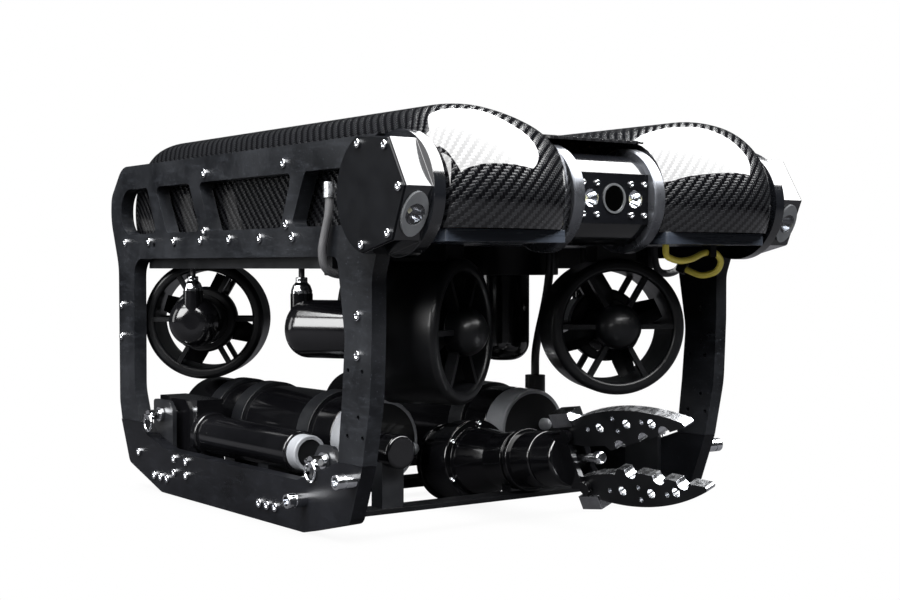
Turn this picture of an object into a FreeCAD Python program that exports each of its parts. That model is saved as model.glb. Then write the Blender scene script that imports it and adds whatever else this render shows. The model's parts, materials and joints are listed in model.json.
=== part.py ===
"""Underwater inspection vehicle, in millimetres: +X forward, +Y port, +Z up, origin under its middle.

Two side plates and a deck carry six ducted thrusters, a pair of carbon floats, a tilting camera head
with a light pod at each end, and a skid that holds two pressure tubes and a grabber.
"""
import FreeCAD, Part
import math
import os

from FreeCAD import Placement, Rotation, Vector

DIMENSIONS = [
    ("frame_width", 440, "over the two side plates"),
    ("plate_thickness", 15, "side plates and skid plates"),
    ("origin_shift", 4.2, "vehicle's middle behind the drawing's origin"),
    ("plate_top", 364, "top edge of the side plates"),
    ("plate_rear", 373, "rearmost reach of the side plates"),
    ("plate_front", 190.5, "front edge of the front post"),
    ("seam_height", 72.5, "joint between side plate and skid plate"),
    ("seam_gap", 0.3, "clearance at that joint"),
    ("window_top", 258, "underside of the upper beam"),
    ("window_rear", 308, "rear edge of the big window"),
    ("beam_window_low", 286, "lower edge of the beam windows"),
    ("beam_window_high", 337.5, "upper edge of the beam windows"),
    ("guard_height", 48, "top edge of the skid guard"),
    ("deck_bottom", 270, "underside of the deck"),
    ("deck_thickness", 11.6, "deck plate"),
    ("deck_front", 265, "front edge of the deck"),
    ("deck_rear", 340, "rear edge of the deck"),
    ("slot_half_width", 62, "half width of the notch for the camera head"),
    ("head_x", 220, "tilt axis, forward"),
    ("head_z", 311.5, "tilt axis, height"),
    ("cradle_radius", 56, "cut in the side plate around the light pod"),
    ("pod_flange_radius", 55, "round flange of the light pod"),
    ("pod_flange_thickness", 12, "round flange of the light pod"),
    ("light_pod_radius", 53.5, "corners of the light pod"),
    ("light_pod_depth", 26.6, "faceted part of the light pod"),
    ("cover_thickness", 2, "cover plate of the light pod"),
    ("head_radius", 43, "camera housing"),
    ("head_half_length", 43, "camera housing"),
    ("head_flat", 36, "flat on the camera housing, from the axis"),
    ("end_flange_radius", 50, "end flange of the camera housing"),
    ("end_flange_thickness", 13, "end flange of the camera housing"),
    ("shaft_radius", 10, "tilt shaft"),
    ("running_gap", 0.05, "radial clearance of a shaft in its bore"),
    ("part_gap", 0.5, "clearance between pieces that move past each other"),
    ("shell_inner", 58, "inner wall of the float shell"),
    ("shell_gap", 4.5, "between the float shell and the side plate"),
    ("shell_wall", 2.5, "float shell laminate"),
    ("shell_rear_axis", 290, "centre of the rounded rear end"),
    ("shell_nose_axis", 208, "centre of the rounded nose"),
    ("cover_rise", 58.5, "top of the centre cover above the tilt axis"),
    ("duct_outer", 69, "thruster duct, outer radius"),
    ("duct_inner", 56.5, "thruster duct, inner radius"),
    ("duct_length", 78, "thruster duct"),
    ("thruster_z", 188, "height of the horizontal thrusters"),
    ("front_thruster_x", 127, "front thruster, forward"),
    ("front_thruster_inset", 90, "front thruster's centre from the side plate"),
    ("front_thruster_yaw", 29, "toe of the front thruster"),
    ("front_pod_reach", 150, "front motor pod, from the duct centre"),
    ("rear_thruster_x", 312, "rear thruster, aft"),
    ("rear_thruster_inset", 81, "rear thruster's centre from the side plate"),
    ("rear_thruster_yaw", 36, "toe of the rear thruster"),
    ("rear_pod_reach", 117, "rear motor pod, from the duct centre"),
    ("lift_thruster_x", 7, "vertical thruster, aft"),
    ("lift_thruster_y", 79, "vertical thruster, sideways"),
    ("lift_thruster_z", 262, "vertical thruster, propeller height"),
    ("lift_duct_outer", 60, "vertical duct, outer radius"),
    ("lift_duct_top", 366, "top of the vertical duct"),
    ("lift_duct_bottom", 240, "bottom of the vertical duct"),
    ("lift_pod_bottom", 147, "lowest point of a vertical motor pod"),
    ("motor_radius", 28.5, "motor pod"),
    ("motor_corner", 20, "rounding of the motor pod's end"),
    ("guard_nose", 23, "round nose of the duct's front guard, radius"),
    ("hub_radius", 38, "collar round the motor at the duct's rear"),
    ("gland_inset", 11, "gland from the motor pod's end"),
    ("gland_height", 16, "gland above its boss"),
    ("propeller_radius", 54, "propeller"),
    ("propeller_hub", 19, "propeller hub radius"),
    ("propeller_length", 26, "propeller hub length"),
    ("propeller_shaft", 4, "propeller shaft radius"),
    ("spoke_width", 5, "spoke, across"),
    ("spoke_depth", 10, "spoke, along the duct"),
    ("tube_radius", 44, "pressure tube"),
    ("tube_y", 98, "pressure tube, sideways"),
    ("tube_z", 72, "pressure tube, height"),
    ("tube_rear", 368, "pressure tube, rear end of the tapered nose"),
    ("tube_front", -8, "pressure tube, front end"),
    ("band_thickness", 3.2, "tube clamp"),
    ("band_width", 30, "tube clamp"),
    ("bar_bottom", 10, "underside of the skid bars"),
    ("bar_height", 10, "skid bars"),
    ("canister_radius", 21, "side canister"),
    ("canister_inset", 27, "side canister's axis from the side plate"),
    ("canister_z", 65, "side canister, height"),
    ("short_canister_radius", 15, "short canister"),
    ("short_canister_inset", 44, "short canister's axis from the side plate"),
    ("short_canister_z", 79, "short canister, height"),
    ("rail_width", 11, "rail under the deck's edge"),
    ("rail_height", 23, "rail under the deck's edge"),
    ("arm_tilt", 7, "grabber, upward"),
    ("arm_roll", 20, "grabber, rolled"),
    ("arm_x", 39.5, "grabber flange, forward"),
    ("arm_z", 46.6, "grabber flange, height"),
    ("arm_flange_radius", 43, "grabber flange"),
    ("arm_rear_radius", 41, "grabber actuator"),
    ("forearm_radius", 28, "grabber forearm"),
    ("forearm_end", 130, "front of the forearm from the flange"),
    ("wrist_radius", 27, "grabber wrist"),
    ("wrist_end", 162, "front of the wrist from the flange"),
    ("jaw_pivot", 178, "jaw pivots from the flange"),
    ("jaw_pivot_height", 26.5, "jaw pivots from the arm's axis"),
    ("jaw_thickness", 12, "jaw plate"),
    ("jaw_pin", 3, "jaw pin radius"),
    ("ear_thickness", 5, "fork ears of the wrist"),
    ("jaw_tip", 332.5, "jaw tips from the flange"),
    ("jaw_close", 10.4, "angle by which each jaw closes from rest"),
    ("jaw_hole", 4.4, "larger holes in the jaws, radius"),
    ("jaw_small_hole", 2.5, "smaller holes in the jaws, radius"),
    ("jaw_scallop", 7, "scallops in the gripping edge, radius"),
    ("rod_radius", 4, "grabber screw"),
    ("post_hole", 2.2, "accessory holes in the front posts, radius"),
    ("beam_hole", 3, "lifting holes in the upper beam, radius"),
    ("splice_thickness", 5, "inner splice plates"),
    ("screw_head", 4.6, "frame screw head radius"),
    ("screw_head_height", 2.4, "frame screw head"),
    ("screw_shank", 2.6, "frame screw shank radius"),
    ("screw_gap", 0.1, "frame screw hole clearance"),
    ("pin_radius", 4, "release pin"),
    ("knob_radius", 7, "thumb screw"),
    ("knob_length", 20, "thumb screw"),
    ("hose_diameter", 8, "lamp hose"),
    ("lead_diameter", 6.4, "yellow lead"),
    ("control_diameter", 9, "control lead"),
]

DOC = FreeCAD.newDocument("inspection_vehicle")
SHEET = DOC.addObject("Spreadsheet::Sheet", "dims")
ZERO = Vector(0, 0, 0)
X_WAY = Vector(1, 0, 0)
Y_WAY = Vector(0, 1, 0)
Z_WAY = Vector(0, 0, 1)
NODES = []


class Dims:
    """The sheet's cells, read by alias."""

    def __getattr__(self, alias):
        return float(SHEET.get(alias))


D = Dims()


def fill_sheet():
    for row, (alias, value, meaning) in enumerate(DIMENSIONS, start=1):
        SHEET.set(f"A{row}", meaning)
        SHEET.set(f"B{row}", str(value))
        SHEET.setAlias(f"B{row}", alias)
    DOC.recompute()


# ---------------------------------------------------------------- building blocks

def keep(item, label):
    """Marks a document object as a sub-part of that name."""
    item.Label = label
    NODES.append(item)
    return item


def add(kind, name, **expressions):
    """A document object whose sizes follow the sheet."""
    item = DOC.addObject(kind, name)
    for size, text in expressions.items():
        item.setExpression(size, text)
    return item


def cylinder(name, radius, height, start=ZERO, way=Z_WAY):
    item = add("Part::Cylinder", name, Radius=radius, Height=height)
    item.Placement = Placement(start, Rotation(Z_WAY, way))
    return item


def box(name, length, width, height, corner=ZERO):
    item = add("Part::Box", name, Length=length, Width=width, Height=height)
    item.Placement = Placement(corner, Rotation())
    return item


def cut(name, base, tool):
    item = DOC.addObject("Part::Cut", name)
    item.Base = base
    item.Tool = tool
    return item


def fuse(name, items):
    item = DOC.addObject("Part::MultiFuse", name)
    item.Shapes = items
    item.Refine = True
    return item


def feature(name, shape, placement=None):
    item = DOC.addObject("Part::Feature", name)
    item.Shape = shape
    if placement is not None:
        item.Placement = placement
    return item


def group(label, shapes, placement=None):
    """Several like solids under one name."""
    return keep(feature(label, Part.makeCompound(shapes), placement), label)


def instance(label, source, placement):
    """A further copy of a finished sub-part."""
    shape = source.Shape.copy()
    shape.Placement = Placement()
    return keep(feature(label, shape, placement), label)


def rounded(corners):
    """Closed outline in the XY plane through (x, y, radius) corners, as lines and tangent arcs."""
    points = [Vector(x, y, 0) for x, y, _ in corners]
    radii = [radius for _, _, radius in corners]
    total = len(points)
    runs = []
    for i, point in enumerate(points):
        back = (points[i - 1] - point).normalize()
        ahead = (points[(i + 1) % total] - point).normalize()
        half = back.getAngle(ahead) / 2
        reach = radii[i] / math.tan(half)
        inward = (back + ahead).normalize() if radii[i] > 0 else back
        centre = point + inward * (radii[i] / math.sin(half))
        middle = centre - inward * radii[i]
        runs.append((point + back * reach, middle, point + ahead * reach, radii[i]))
    edges = []
    for i, (start, middle, end, radius) in enumerate(runs):
        last = runs[i - 1][2]
        if last.distanceToPoint(start) > 1e-6:
            edges.append(Part.LineSegment(last, start).toShape())
        if radius > 0:
            edges.append(Part.Arc(start, middle, end).toShape())
    return Part.Wire(edges)


def disc(x, y, radius):
    return Part.Face(Part.Wire(Part.makeCircle(radius, Vector(x, y, 0))))


def open_face(outline, holes):
    """The outline's face with the given hole faces taken out."""
    face = Part.Face(outline)
    return face.cut(holes) if holes else face


def sketch_on(body, role, face):
    """Draws a planar face's loops in a sketch on one of the body's own origin planes."""
    sketch = body.newObject("Sketcher::SketchObject", body.Name + "_sketch")
    plane = next(item for item in body.Origin.OriginFeatures if item.Role == role)
    sketch.AttachmentSupport = [(plane, "")]
    sketch.MapMode = "FlatFace"
    for edge in face.Edges:
        curve = edge.Curve
        ends = (edge.valueAt(edge.FirstParameter), edge.valueAt(edge.LastParameter))
        middle = edge.valueAt((edge.FirstParameter + edge.LastParameter) / 2)
        if isinstance(curve, Part.Line):
            sketch.addGeometry(Part.LineSegment(*ends))
        elif edge.isClosed():
            sketch.addGeometry(Part.Circle(curve.Center, Z_WAY, curve.Radius))
        else:
            sketch.addGeometry(Part.Arc(ends[0], middle, ends[1]))
    return sketch


def padded(name, role, face, depth, base=ZERO):
    """A body padded by a sheet expression from a face drawn on an origin plane."""
    body = DOC.addObject("PartDesign::Body", name)
    sketch = sketch_on(body, role, face)
    pad = body.newObject("PartDesign::Pad", name + "_pad")
    pad.Profile = sketch
    pad.setExpression("Length", depth)
    body.Tip = pad
    body.Placement = Placement(base, Rotation())
    return body


def turned(name, corners, placement=None):
    """A body turned about its own X axis from (x, radius, corner radius) points."""
    body = DOC.addObject("PartDesign::Body", name)
    sketch = sketch_on(body, "XY_Plane", Part.Face(rounded(corners)))
    turn = body.newObject("PartDesign::Revolution", name + "_turn")
    turn.Profile = sketch
    turn.ReferenceAxis = (sketch, ["H_Axis"])
    turn.Angle = 360
    body.Tip = turn
    if placement is not None:
        body.Placement = placement
    return body


def turned_shape(corners, start=ZERO, way=X_WAY):
    """The same turned solid as a plain shape, for the members of a group."""
    shape = Part.Face(rounded(corners)).revolve(ZERO, X_WAY, 360)
    shape.Placement = Placement(start, Rotation(X_WAY, way))
    return shape


def round_bar(radius, length, start, way):
    return Part.makeCylinder(radius, length, start, way)


def mirrored(shape):
    """The port copy of a starboard shape."""
    return shape.mirror(ZERO, Y_WAY)


def tube_along(points, diameter, name=None):
    """A round tube through the points: straight runs joined by arcs as large as the runs allow.

    With a name, its radii and its volume against section times length are printed.
    """
    runs = [points[i + 1] - points[i] for i in range(len(points) - 1)]
    edges = []
    radii = []
    last = points[0]
    for i in range(1, len(points) - 1):
        back = (points[i - 1] - points[i]).normalize()
        ahead = (points[i + 1] - points[i]).normalize()
        half_turn = (math.pi - back.getAngle(ahead)) / 2
        reach = 0.45 * min(runs[i - 1].Length, runs[i].Length)
        radius = reach / math.tan(half_turn)
        inward = (back + ahead).normalize()
        centre = points[i] + inward * (radius / math.cos(half_turn))
        start = points[i] + back * reach
        end = points[i] + ahead * reach
        edges.append(Part.LineSegment(last, start).toShape())
        edges.append(Part.Arc(start, centre - inward * radius, end).toShape())
        radii.append(round(radius, 1))
        last = end
    edges.append(Part.LineSegment(last, points[-1]).toShape())
    path = Part.Wire(edges)
    ring = Part.Wire(Part.makeCircle(diameter / 2, points[0], points[1] - points[0]))
    tube = path.makePipeShell([ring], True, False)
    if name:
        section = math.pi * (diameter / 2) ** 2
        ratio = round(tube.Volume / (section * path.Length), 4)
        print(name, "length", round(path.Length, 1), "radii", radii, "volume ratio", ratio)
    return tube


# ---------------------------------------------------------------- frame

def plate_inner():
    return D.frame_width / 2 - D.plate_thickness


def shell_outer():
    return plate_inner() - D.shell_gap


def deck_top():
    return D.deck_bottom + D.deck_thickness


BEAM_SCREWS = [(-330 + 64 * i, 276.7) for i in range(7)]
FLUSH_SCREWS = [(-129, 346), (37, 347), (-129.5, 286), (42, 289), (168, 205.6), (168, 170.3),
                (-340, 205), (-341, 169)]
SKID_SCREWS = [(-294.5, 39), (-203.5, 40.5), (-174, 40.5), (-203.5, 25.5), (-174, 25.5),
               (-253.5, 17), (-237, 17), (-221, 17), (-12, 17), (4, 17), (20, 17)]
POST_HOLES = [(151.3, 156.3), (174.5, 156.3), (168, 115.5), (150, 97.5), (175, 97.5)]
BEAM_HOLES = [(-254, 272.7), (-202, 272.7)]
KNOBS = [(74.5, 31.5), (161, 59)]
PINS = [(88, 68), (-268, 83)]


def plate_outline():
    """Side plate: upper beam between two posts, hollowed at the front for the light pod."""
    seam = D.seam_height + D.seam_gap
    rear = -D.plate_rear
    front = D.plate_front
    return rounded([
        (rear + 30, seam, 0), (rear + 24, 94, 30), (rear + 22, 250, 60), (rear, 305, 60),
        (rear + 2, D.plate_top - 34, 20), (rear + 32, D.plate_top, 30),
        (D.head_x - 18, D.plate_top, 0), (D.head_x - 4, D.head_z, 0), (front + 6, 268, 0),
        (front + 8, 262, 6), (front, 240, 30), (front, 195, 120), (front - 3, 130, 120),
        (front - 15.5, seam, 0),
        (134, seam, 0), (141, 130, 60), (146, 185, 60), (139, 225, 60), (133, D.window_top, 9),
        (-D.window_rear, D.window_top, 20), (-D.window_rear, 110, 40), (-292, seam, 0),
    ])


def beam_windows():
    low = D.beam_window_low
    high = D.beam_window_high
    return [
        rounded([(-343, low, 24), (-343, high, 24), (-272, high, 6), (-248, low, 6)]),
        rounded([(-251, high, 6), (-167, high, 6), (-141, low, 6), (-221, low, 6)]),
        rounded([(-145, high, 6), (52, high, 6), (30, low, 6), (-118, low, 6)]),
        rounded([(76, high, 6), (150, high, 6), (150, low, 6), (50, low, 6)]),
    ]


def screw_holes(places):
    radius = D.screw_shank + D.screw_gap
    return [disc(x, z, radius) for x, z in places]


def side_plates():
    holes = [Part.Face(wire) for wire in beam_windows()]
    holes += screw_holes(BEAM_SCREWS + FLUSH_SCREWS)
    holes += [disc(x, z, D.post_hole) for x, z in POST_HOLES]
    holes += [disc(x, z, D.beam_hole) for x, z in BEAM_HOLES]
    holes.append(disc(D.head_x, D.head_z, D.cradle_radius))
    face = open_face(plate_outline(), holes)
    for side, base in (("starboard", -plate_inner()), ("port", D.frame_width / 2)):
        label = "side_plate_" + side
        keep(padded(label, "XZ_Plane", face, "dims.plate_thickness", Vector(0, base, 0)), label)


def skid_outline():
    seam = D.seam_height
    guard = D.guard_height
    return rounded([
        (-322, 25, 10), (-237, 0, 20), (73, 0, 20), (154, 18.7, 12), (D.plate_front - 15.5, seam, 0),
        (134, seam, 0), (118, 67, 12), (60, guard, 14), (-226, guard, 30), (-278, 61, 12), (-292, seam, 0),
        (-345, seam, 0),
    ])


def skid_plates():
    face = open_face(skid_outline(), screw_holes(SKID_SCREWS))
    for side, base in (("starboard", -plate_inner()), ("port", D.frame_width / 2)):
        label = "skid_plate_" + side
        keep(padded(label, "XZ_Plane", face, "dims.plate_thickness", Vector(0, base, 0)), label)


DECK_RAIL = (-300, 100)


def splice_plates():
    """Inner plates that hold the release pins, and the rails under the deck's edges."""
    outlines = [
        rounded([(58, 22, 4), (110, 22, 4), (110, 66, 8), (100, 82, 6), (76, 82, 6), (58, 60, 4)]),
        rounded([(-290, 44, 4), (-240, 44, 4), (-240, 90, 8), (-250, 99, 8), (-290, 99, 4)]),
    ]
    shapes = []
    for outline, (x, z) in zip(outlines, PINS):
        face = open_face(outline, [disc(x, z, D.pin_radius + D.running_gap)])
        face.rotate(ZERO, X_WAY, 90)
        plate = face.extrude(Vector(0, D.splice_thickness, 0))
        plate.translate(Vector(0, -plate_inner(), 0))
        shapes += [plate, mirrored(plate)]
    start, end = DECK_RAIL
    rail = Part.makeBox(end - start, D.rail_width, D.rail_height,
                        Vector(start, -plate_inner(), D.deck_bottom - D.rail_height))
    group("splice_plates", shapes + [rail, mirrored(rail)])


def deck():
    side = plate_inner()
    flank = shell_outer()
    front = D.deck_front
    notch = D.slot_half_width
    back = D.head_x - D.cradle_radius - 4
    half = [(front, notch, 3), (front, flank - 7, 3), (front - 22, flank, 3), (back, flank, 0),
            (back, side, 0)]
    lower = [(x, -y, r) for x, y, r in half]
    outline = rounded([(-D.deck_rear, -side, 6)] + lower[::-1]
                      + [(back + 2, -notch, 8), (back + 2, notch, 8)] + half + [(-D.deck_rear, side, 6)])
    bore = D.lift_duct_outer + D.seam_gap
    bores = [disc(-D.lift_thruster_x, sign * D.lift_thruster_y, bore) for sign in (-1, 1)]
    body = padded("deck_plate", "XY_Plane", open_face(outline, bores), "dims.deck_thickness",
                  Vector(0, 0, D.deck_bottom))
    keep(body, "deck_plate")


BAR_PLACES = [-268, -205, -60]
FRONT_BAR = (114, 24, 21, 5)


def skid_bars():
    side = plate_inner()
    shapes = []
    for x in BAR_PLACES:
        corner = Vector(x - D.band_width / 2, -side, D.bar_bottom)
        shapes.append(Part.makeBox(D.band_width, 2 * side, D.bar_height, corner))
    start, width, bottom, height = FRONT_BAR
    shapes.append(Part.makeBox(width, 2 * side, height, Vector(start, -side, bottom)))
    group("skid_bars", shapes)


def screw(start, way):
    """A socket screw through a plate: head outside, shank inwards along way."""
    head = D.screw_head
    shank = D.screw_shank
    length = D.plate_thickness
    height = D.screw_head_height
    socket = head * 0.5
    return turned_shape([(-height, socket, 0), (-height, head, 0.7), (0, head, 0), (0, shank, 0),
                         (length, shank, 0), (length, 0, 0), (-height + 1.4, 0, 0),
                         (-height + 1.4, socket, 0)], start, way)


def socket_head(radius, height, start, way):
    """A bare screw head with its socket, seated on a surface."""
    socket = radius * 0.5
    depth = height * 0.45
    return turned_shape([(0, 0, 0), (0, radius, 0), (height, radius, 0.3 * height), (height, socket, 0),
                         (depth, socket, 0), (depth, 0, 0)], start, way)


def frame_screws():
    face = -D.frame_width / 2
    shapes = [screw(Vector(x, face, z), Y_WAY) for x, z in BEAM_SCREWS + FLUSH_SCREWS + SKID_SCREWS]
    shapes += [mirrored(shape) for shape in shapes]
    group("frame_screws", shapes)


def thumb_screws():
    """Knurled knobs with a hollow end, seated on the skid plates."""
    radius = D.knob_radius
    length = D.knob_length
    outline = [(0, 0, 0), (0, radius, 0), (11, radius, 0), (11, radius - 1, 0), (12.5, radius - 1, 0),
               (12.5, radius, 0), (length, radius, 1), (length, radius - 2.5, 0), (length - 9, radius - 2.5, 0),
               (length - 9, 0, 0)]
    face = -D.frame_width / 2
    shapes = [turned_shape(outline, Vector(x, face, z), -Y_WAY) for x, z in KNOBS]
    shapes += [mirrored(shape) for shape in shapes]
    group("thumb_screws", shapes)


def release_pin(label, x, z, side):
    """Quick release pin: shank through the splice plate, barrel and pull ring outside."""
    inner = plate_inner()
    shank = round_bar(D.pin_radius, 12, Vector(0, -1, 0), Y_WAY)
    collar = round_bar(8, 3, Vector(0, -1, 0), -Y_WAY)
    barrel = round_bar(5.5, 14, Vector(0, -3, 0), -Y_WAY)
    handle = round_bar(3.2, 24, Vector(-12, -13, 0), X_WAY)
    ring = Part.makeTorus(9, 1.3, Vector(0, -16.8, -9), Y_WAY)
    shape = shank.fuse([collar, barrel, handle, ring]).removeSplitter()
    place = Vector(x, -inner, z)
    if side > 0:
        shape = mirrored(shape)
        place = Vector(x, inner, z)
    keep(feature(label, shape, Placement(place, Rotation())), label)


def release_pins():
    for end, (x, z) in zip(("front", "rear"), PINS):
        for side, sign in (("starboard", -1), ("port", 1)):
            release_pin(f"release_pin_{end}_{side}", x, z, sign)


# ---------------------------------------------------------------- floats

# (distance from the centre line, height above the tilt axis) across the top of a float
CROWN = [(58, 58.5), (73, 67), (90, 73), (113, 78.5), (137, 81.5), (155, 81), (175, 77.5), (190, 70),
         (200.5, 57)]


def crown_face(inset, floor):
    """Cross section of a float in the YZ plane, from the floor height up to the crown."""
    first = CROWN[0][0]
    last = CROWN[-1][0]
    span = last - first
    points = []
    for y, rise in CROWN:
        share = (y - first) / span
        points.append(Vector(0, first + inset + share * (span - 2 * inset), D.head_z + rise - inset))
    curve = Part.BSplineCurve()
    curve.interpolate(points)
    low_first = Vector(0, points[0].y, floor)
    low_last = Vector(0, points[-1].y, floor)
    edges = [curve.toShape(), Part.LineSegment(points[-1], low_last).toShape(),
             Part.LineSegment(low_last, low_first).toShape(), Part.LineSegment(low_first, points[0]).toShape()]
    return Part.Face(Part.Wire(edges))


def float_solid(inset):
    """A float's straight middle with both ends swept round, cut level at the deck."""
    floor = deck_top()
    rear = Vector(-D.shell_rear_axis, 0, 0)
    front = Vector(D.shell_nose_axis, 0, 0)
    middle = crown_face(inset, floor)
    middle.translate(rear)
    body = middle.extrude(front - rear)
    sector = crown_face(inset, D.head_z)
    nose = sector.copy()
    nose.translate(front)
    nose = nose.revolve(Vector(D.shell_nose_axis, 0, D.head_z), Y_WAY, 125)
    tail = sector.copy()
    tail.translate(rear)
    tail = tail.revolve(Vector(-D.shell_rear_axis, 0, D.head_z), Y_WAY, -125)
    room = Part.makeBox(1000, 500, 200, Vector(-500, 0, floor))
    return body.fuse([nose, tail]).common(room)


def float_shells():
    """Thin carbon shells over the floats, open where the vertical ducts and the tilt shaft pass."""
    hollow = float_solid(D.shell_wall)
    shell = float_solid(0).cut(hollow)
    place = Vector(-D.lift_thruster_x, D.lift_thruster_y, 200)
    duct = round_bar(D.lift_duct_outer + D.seam_gap, 300, place, Z_WAY)
    shaft = round_bar(D.shaft_radius + 2, 400, Vector(D.head_x, 0, D.head_z), Y_WAY)
    shell = shell.cut([duct, shaft])
    keep(feature("float_shell_port", shell), "float_shell_port")
    keep(feature("float_shell_starboard", mirrored(shell)), "float_shell_starboard")


def centre_cover():
    """Flat cover between the floats, rounded down at the rear and ending in a hood over the camera."""
    half = D.shell_inner - D.seam_gap
    wall = 4
    floor = deck_top()
    top = D.head_z + D.cover_rise
    corners = [Vector(0, -half, top - wall), Vector(0, half, top - wall), Vector(0, half, top),
               Vector(0, -half, top)]
    section = Part.Face(Part.makePolygon(corners + corners[:1]))
    rear = section.copy()
    rear.translate(Vector(-D.shell_rear_axis, 0, 0))
    body = rear.extrude(Vector(D.shell_rear_axis + D.head_x, 0, 0))
    tail = rear.revolve(Vector(-D.shell_rear_axis, 0, D.head_z), Y_WAY, -90)
    corner = Vector(-D.shell_rear_axis - D.cover_rise, -half, floor)
    skirt = Part.makeBox(wall, 2 * half, D.head_z - floor, corner)
    hood = section.copy()
    hood.translate(Vector(D.head_x, 0, 0))
    hood = hood.revolve(Vector(D.head_x, 0, D.head_z), Y_WAY, 17)
    cover = body.fuse([tail, skirt, hood])
    ducts = []
    for sign in (-1, 1):
        place = Vector(-D.lift_thruster_x, sign * D.lift_thruster_y, 200)
        ducts.append(round_bar(D.lift_duct_outer + D.seam_gap, 300, place, Z_WAY))
    keep(feature("centre_cover", cover.cut(ducts)), "centre_cover")


def buoyancy_foam():
    """Foam blocks inside the floats, fore and aft of the vertical ducts."""
    floor = deck_top()
    inner = D.shell_inner + D.shell_wall + 2
    width = shell_outer() - D.shell_wall - 2 - inner
    height = 84
    shapes = []
    for start, length in ((-D.shell_rear_axis, 205), (68, 82)):
        block = Part.makeBox(length, width, height, Vector(start, inner, floor))
        shapes += [block, mirrored(block)]
    corner = Vector(-D.shell_rear_axis, 6 - D.shell_inner, floor)
    shapes.append(Part.makeBox(205, 2 * D.shell_inner - 12, height, corner))
    group("buoyancy_foam", shapes)


# ---------------------------------------------------------------- thrusters

def spokes(name, count, inner, outer, start, depth_expr):
    items = []
    for i in range(count):
        item = box(f"{name}_{i}", depth_expr, "dims.spoke_width", f"{outer - inner}")
        turn = Rotation(X_WAY, 360 / count * i + 30)
        item.Placement = Placement(turn.multVec(Vector(start, -D.spoke_width / 2, inner)), turn)
        items.append(item)
    return items


def horizontal_duct():
    """Ring, rear collar, nose and two sets of spokes about the X axis, with the mounting boss on top."""
    half = D.duct_length / 2
    inner = D.duct_inner
    outer = D.duct_outer
    ring = turned("duct_ring", [(-half, inner, 4), (-half, outer, 6), (half, outer, 6), (half, inner, 4)])
    bore = D.motor_radius + D.part_gap / 2
    hub = D.hub_radius
    collar = turned("duct_collar", [(-half, bore, 0), (-half, hub, 5), (-half + 22, hub, 3),
                                    (-half + 22, bore, 0)])
    tip = D.guard_nose
    nose = turned("duct_nose", [(half - 13, 0, 0), (half - 13, tip, 1.5), (half + 20, tip, 21),
                                (half + 20, 0, 0)])
    overlap = 1.5
    rear = spokes("duct_rear_spoke", 6, hub - overlap, inner + overlap, -half + 0.5, "dims.spoke_depth")
    front = spokes("duct_front_spoke", 6, tip - overlap, inner + overlap, half - 12, "dims.spoke_depth")
    rise = D.deck_bottom - D.thruster_z
    foot = 27.5
    boss = box("duct_boss", f"{2 * foot}", "40", f"{rise - outer + 4}", Vector(-foot, -20, outer - 4))
    return fuse("duct_front_port", [ring, collar, nose, boss] + rear + front)


def lift_duct():
    """Long vertical duct through deck and float, with spokes for its motor; axis along X before placing."""
    outer = D.lift_duct_outer
    inner = D.duct_inner
    low = D.lift_duct_bottom - D.lift_thruster_z
    high = D.lift_duct_top - D.lift_thruster_z
    ring = turned("lift_ring", [(low, inner, 1.5), (low, outer, 1.5), (high, outer, 1.5), (high, inner, 1.5)])
    bore = D.motor_radius + D.part_gap / 2
    collar = turned("lift_collar", [(low, bore, 0), (low, bore + 4, 1.5), (low + 8, bore + 4, 0),
                                    (low + 8, bore, 0)])
    arms = spokes("lift_spoke", 6, bore + 2.5, inner + 1.5, low + 0.5, "7")
    return fuse("duct_lift_port", [ring, collar] + arms)


def blade_section(radius, chord, angle, thickness):
    """A thin rounded blade section at that radius, pitched by angle from the plane of the disc."""
    along = Vector(math.sin(math.radians(angle)), math.cos(math.radians(angle)), 0)
    across = Vector(along.y, -along.x, 0)
    centre = Vector(0, 0, radius)
    corners = [(-chord / 2, 0), (0, thickness), (chord / 2, 0), (0, -thickness / 3)]
    points = [centre + along * a + across * b for a, b in corners]
    return Part.makePolygon(points + points[:1])


def propeller():
    half = D.propeller_length / 2
    hub = D.propeller_hub
    shaft = D.propeller_shaft
    body = turned("propeller_hub", [(-half - 11, 0, 0), (-half - 11, shaft, 0), (-half, shaft, 0),
                                    (-half, hub, 2), (half, hub, 5), (half, 0, 0)])
    wires = [blade_section(hub - 2, 24, 52, 2.4), blade_section(hub + 16, 32, 36, 2),
             blade_section(D.propeller_radius, 22, 24, 1.2)]
    blade = Part.makeLoft(wires, True, True)
    blades = []
    for i in range(4):
        item = feature(f"propeller_blade_{i}", blade, Placement(ZERO, Rotation(X_WAY, 90 * i + 20)))
        blades.append(item)
    return fuse("propeller_front_port", [body] + blades)


def motor_pod(reach, gland):
    """Motor housing behind the propeller about the X axis, with a boss for its gland near the end."""
    front = -D.propeller_length / 2 - D.part_gap
    bore = D.propeller_shaft + D.running_gap
    body = turned_shape([(front - 12, 0, 0), (front - 12, bore, 0), (front, bore, 0),
                         (front, D.motor_radius, 1), (-reach, D.motor_radius, D.motor_corner),
                         (-reach, 0, 0)])
    if not gland:
        return body
    boss = round_bar(11, D.motor_radius - 4, Vector(D.gland_inset - reach, 0, 10), Z_WAY)
    return body.fuse(boss).removeSplitter()


def gland_shape(reach):
    """Bottle-necked gland on the pod's boss."""
    base = D.motor_radius + 6
    tall = D.gland_height
    return turned_shape([(0, 0, 0), (0, 10.4, 0), (3, 10.4, 1), (8, 8.6, 2), (11, 5.8, 2), (tall, 5.8, 1),
                         (tall, 0, 0)], Vector(D.gland_inset - reach, 0, base), Z_WAY)


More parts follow.
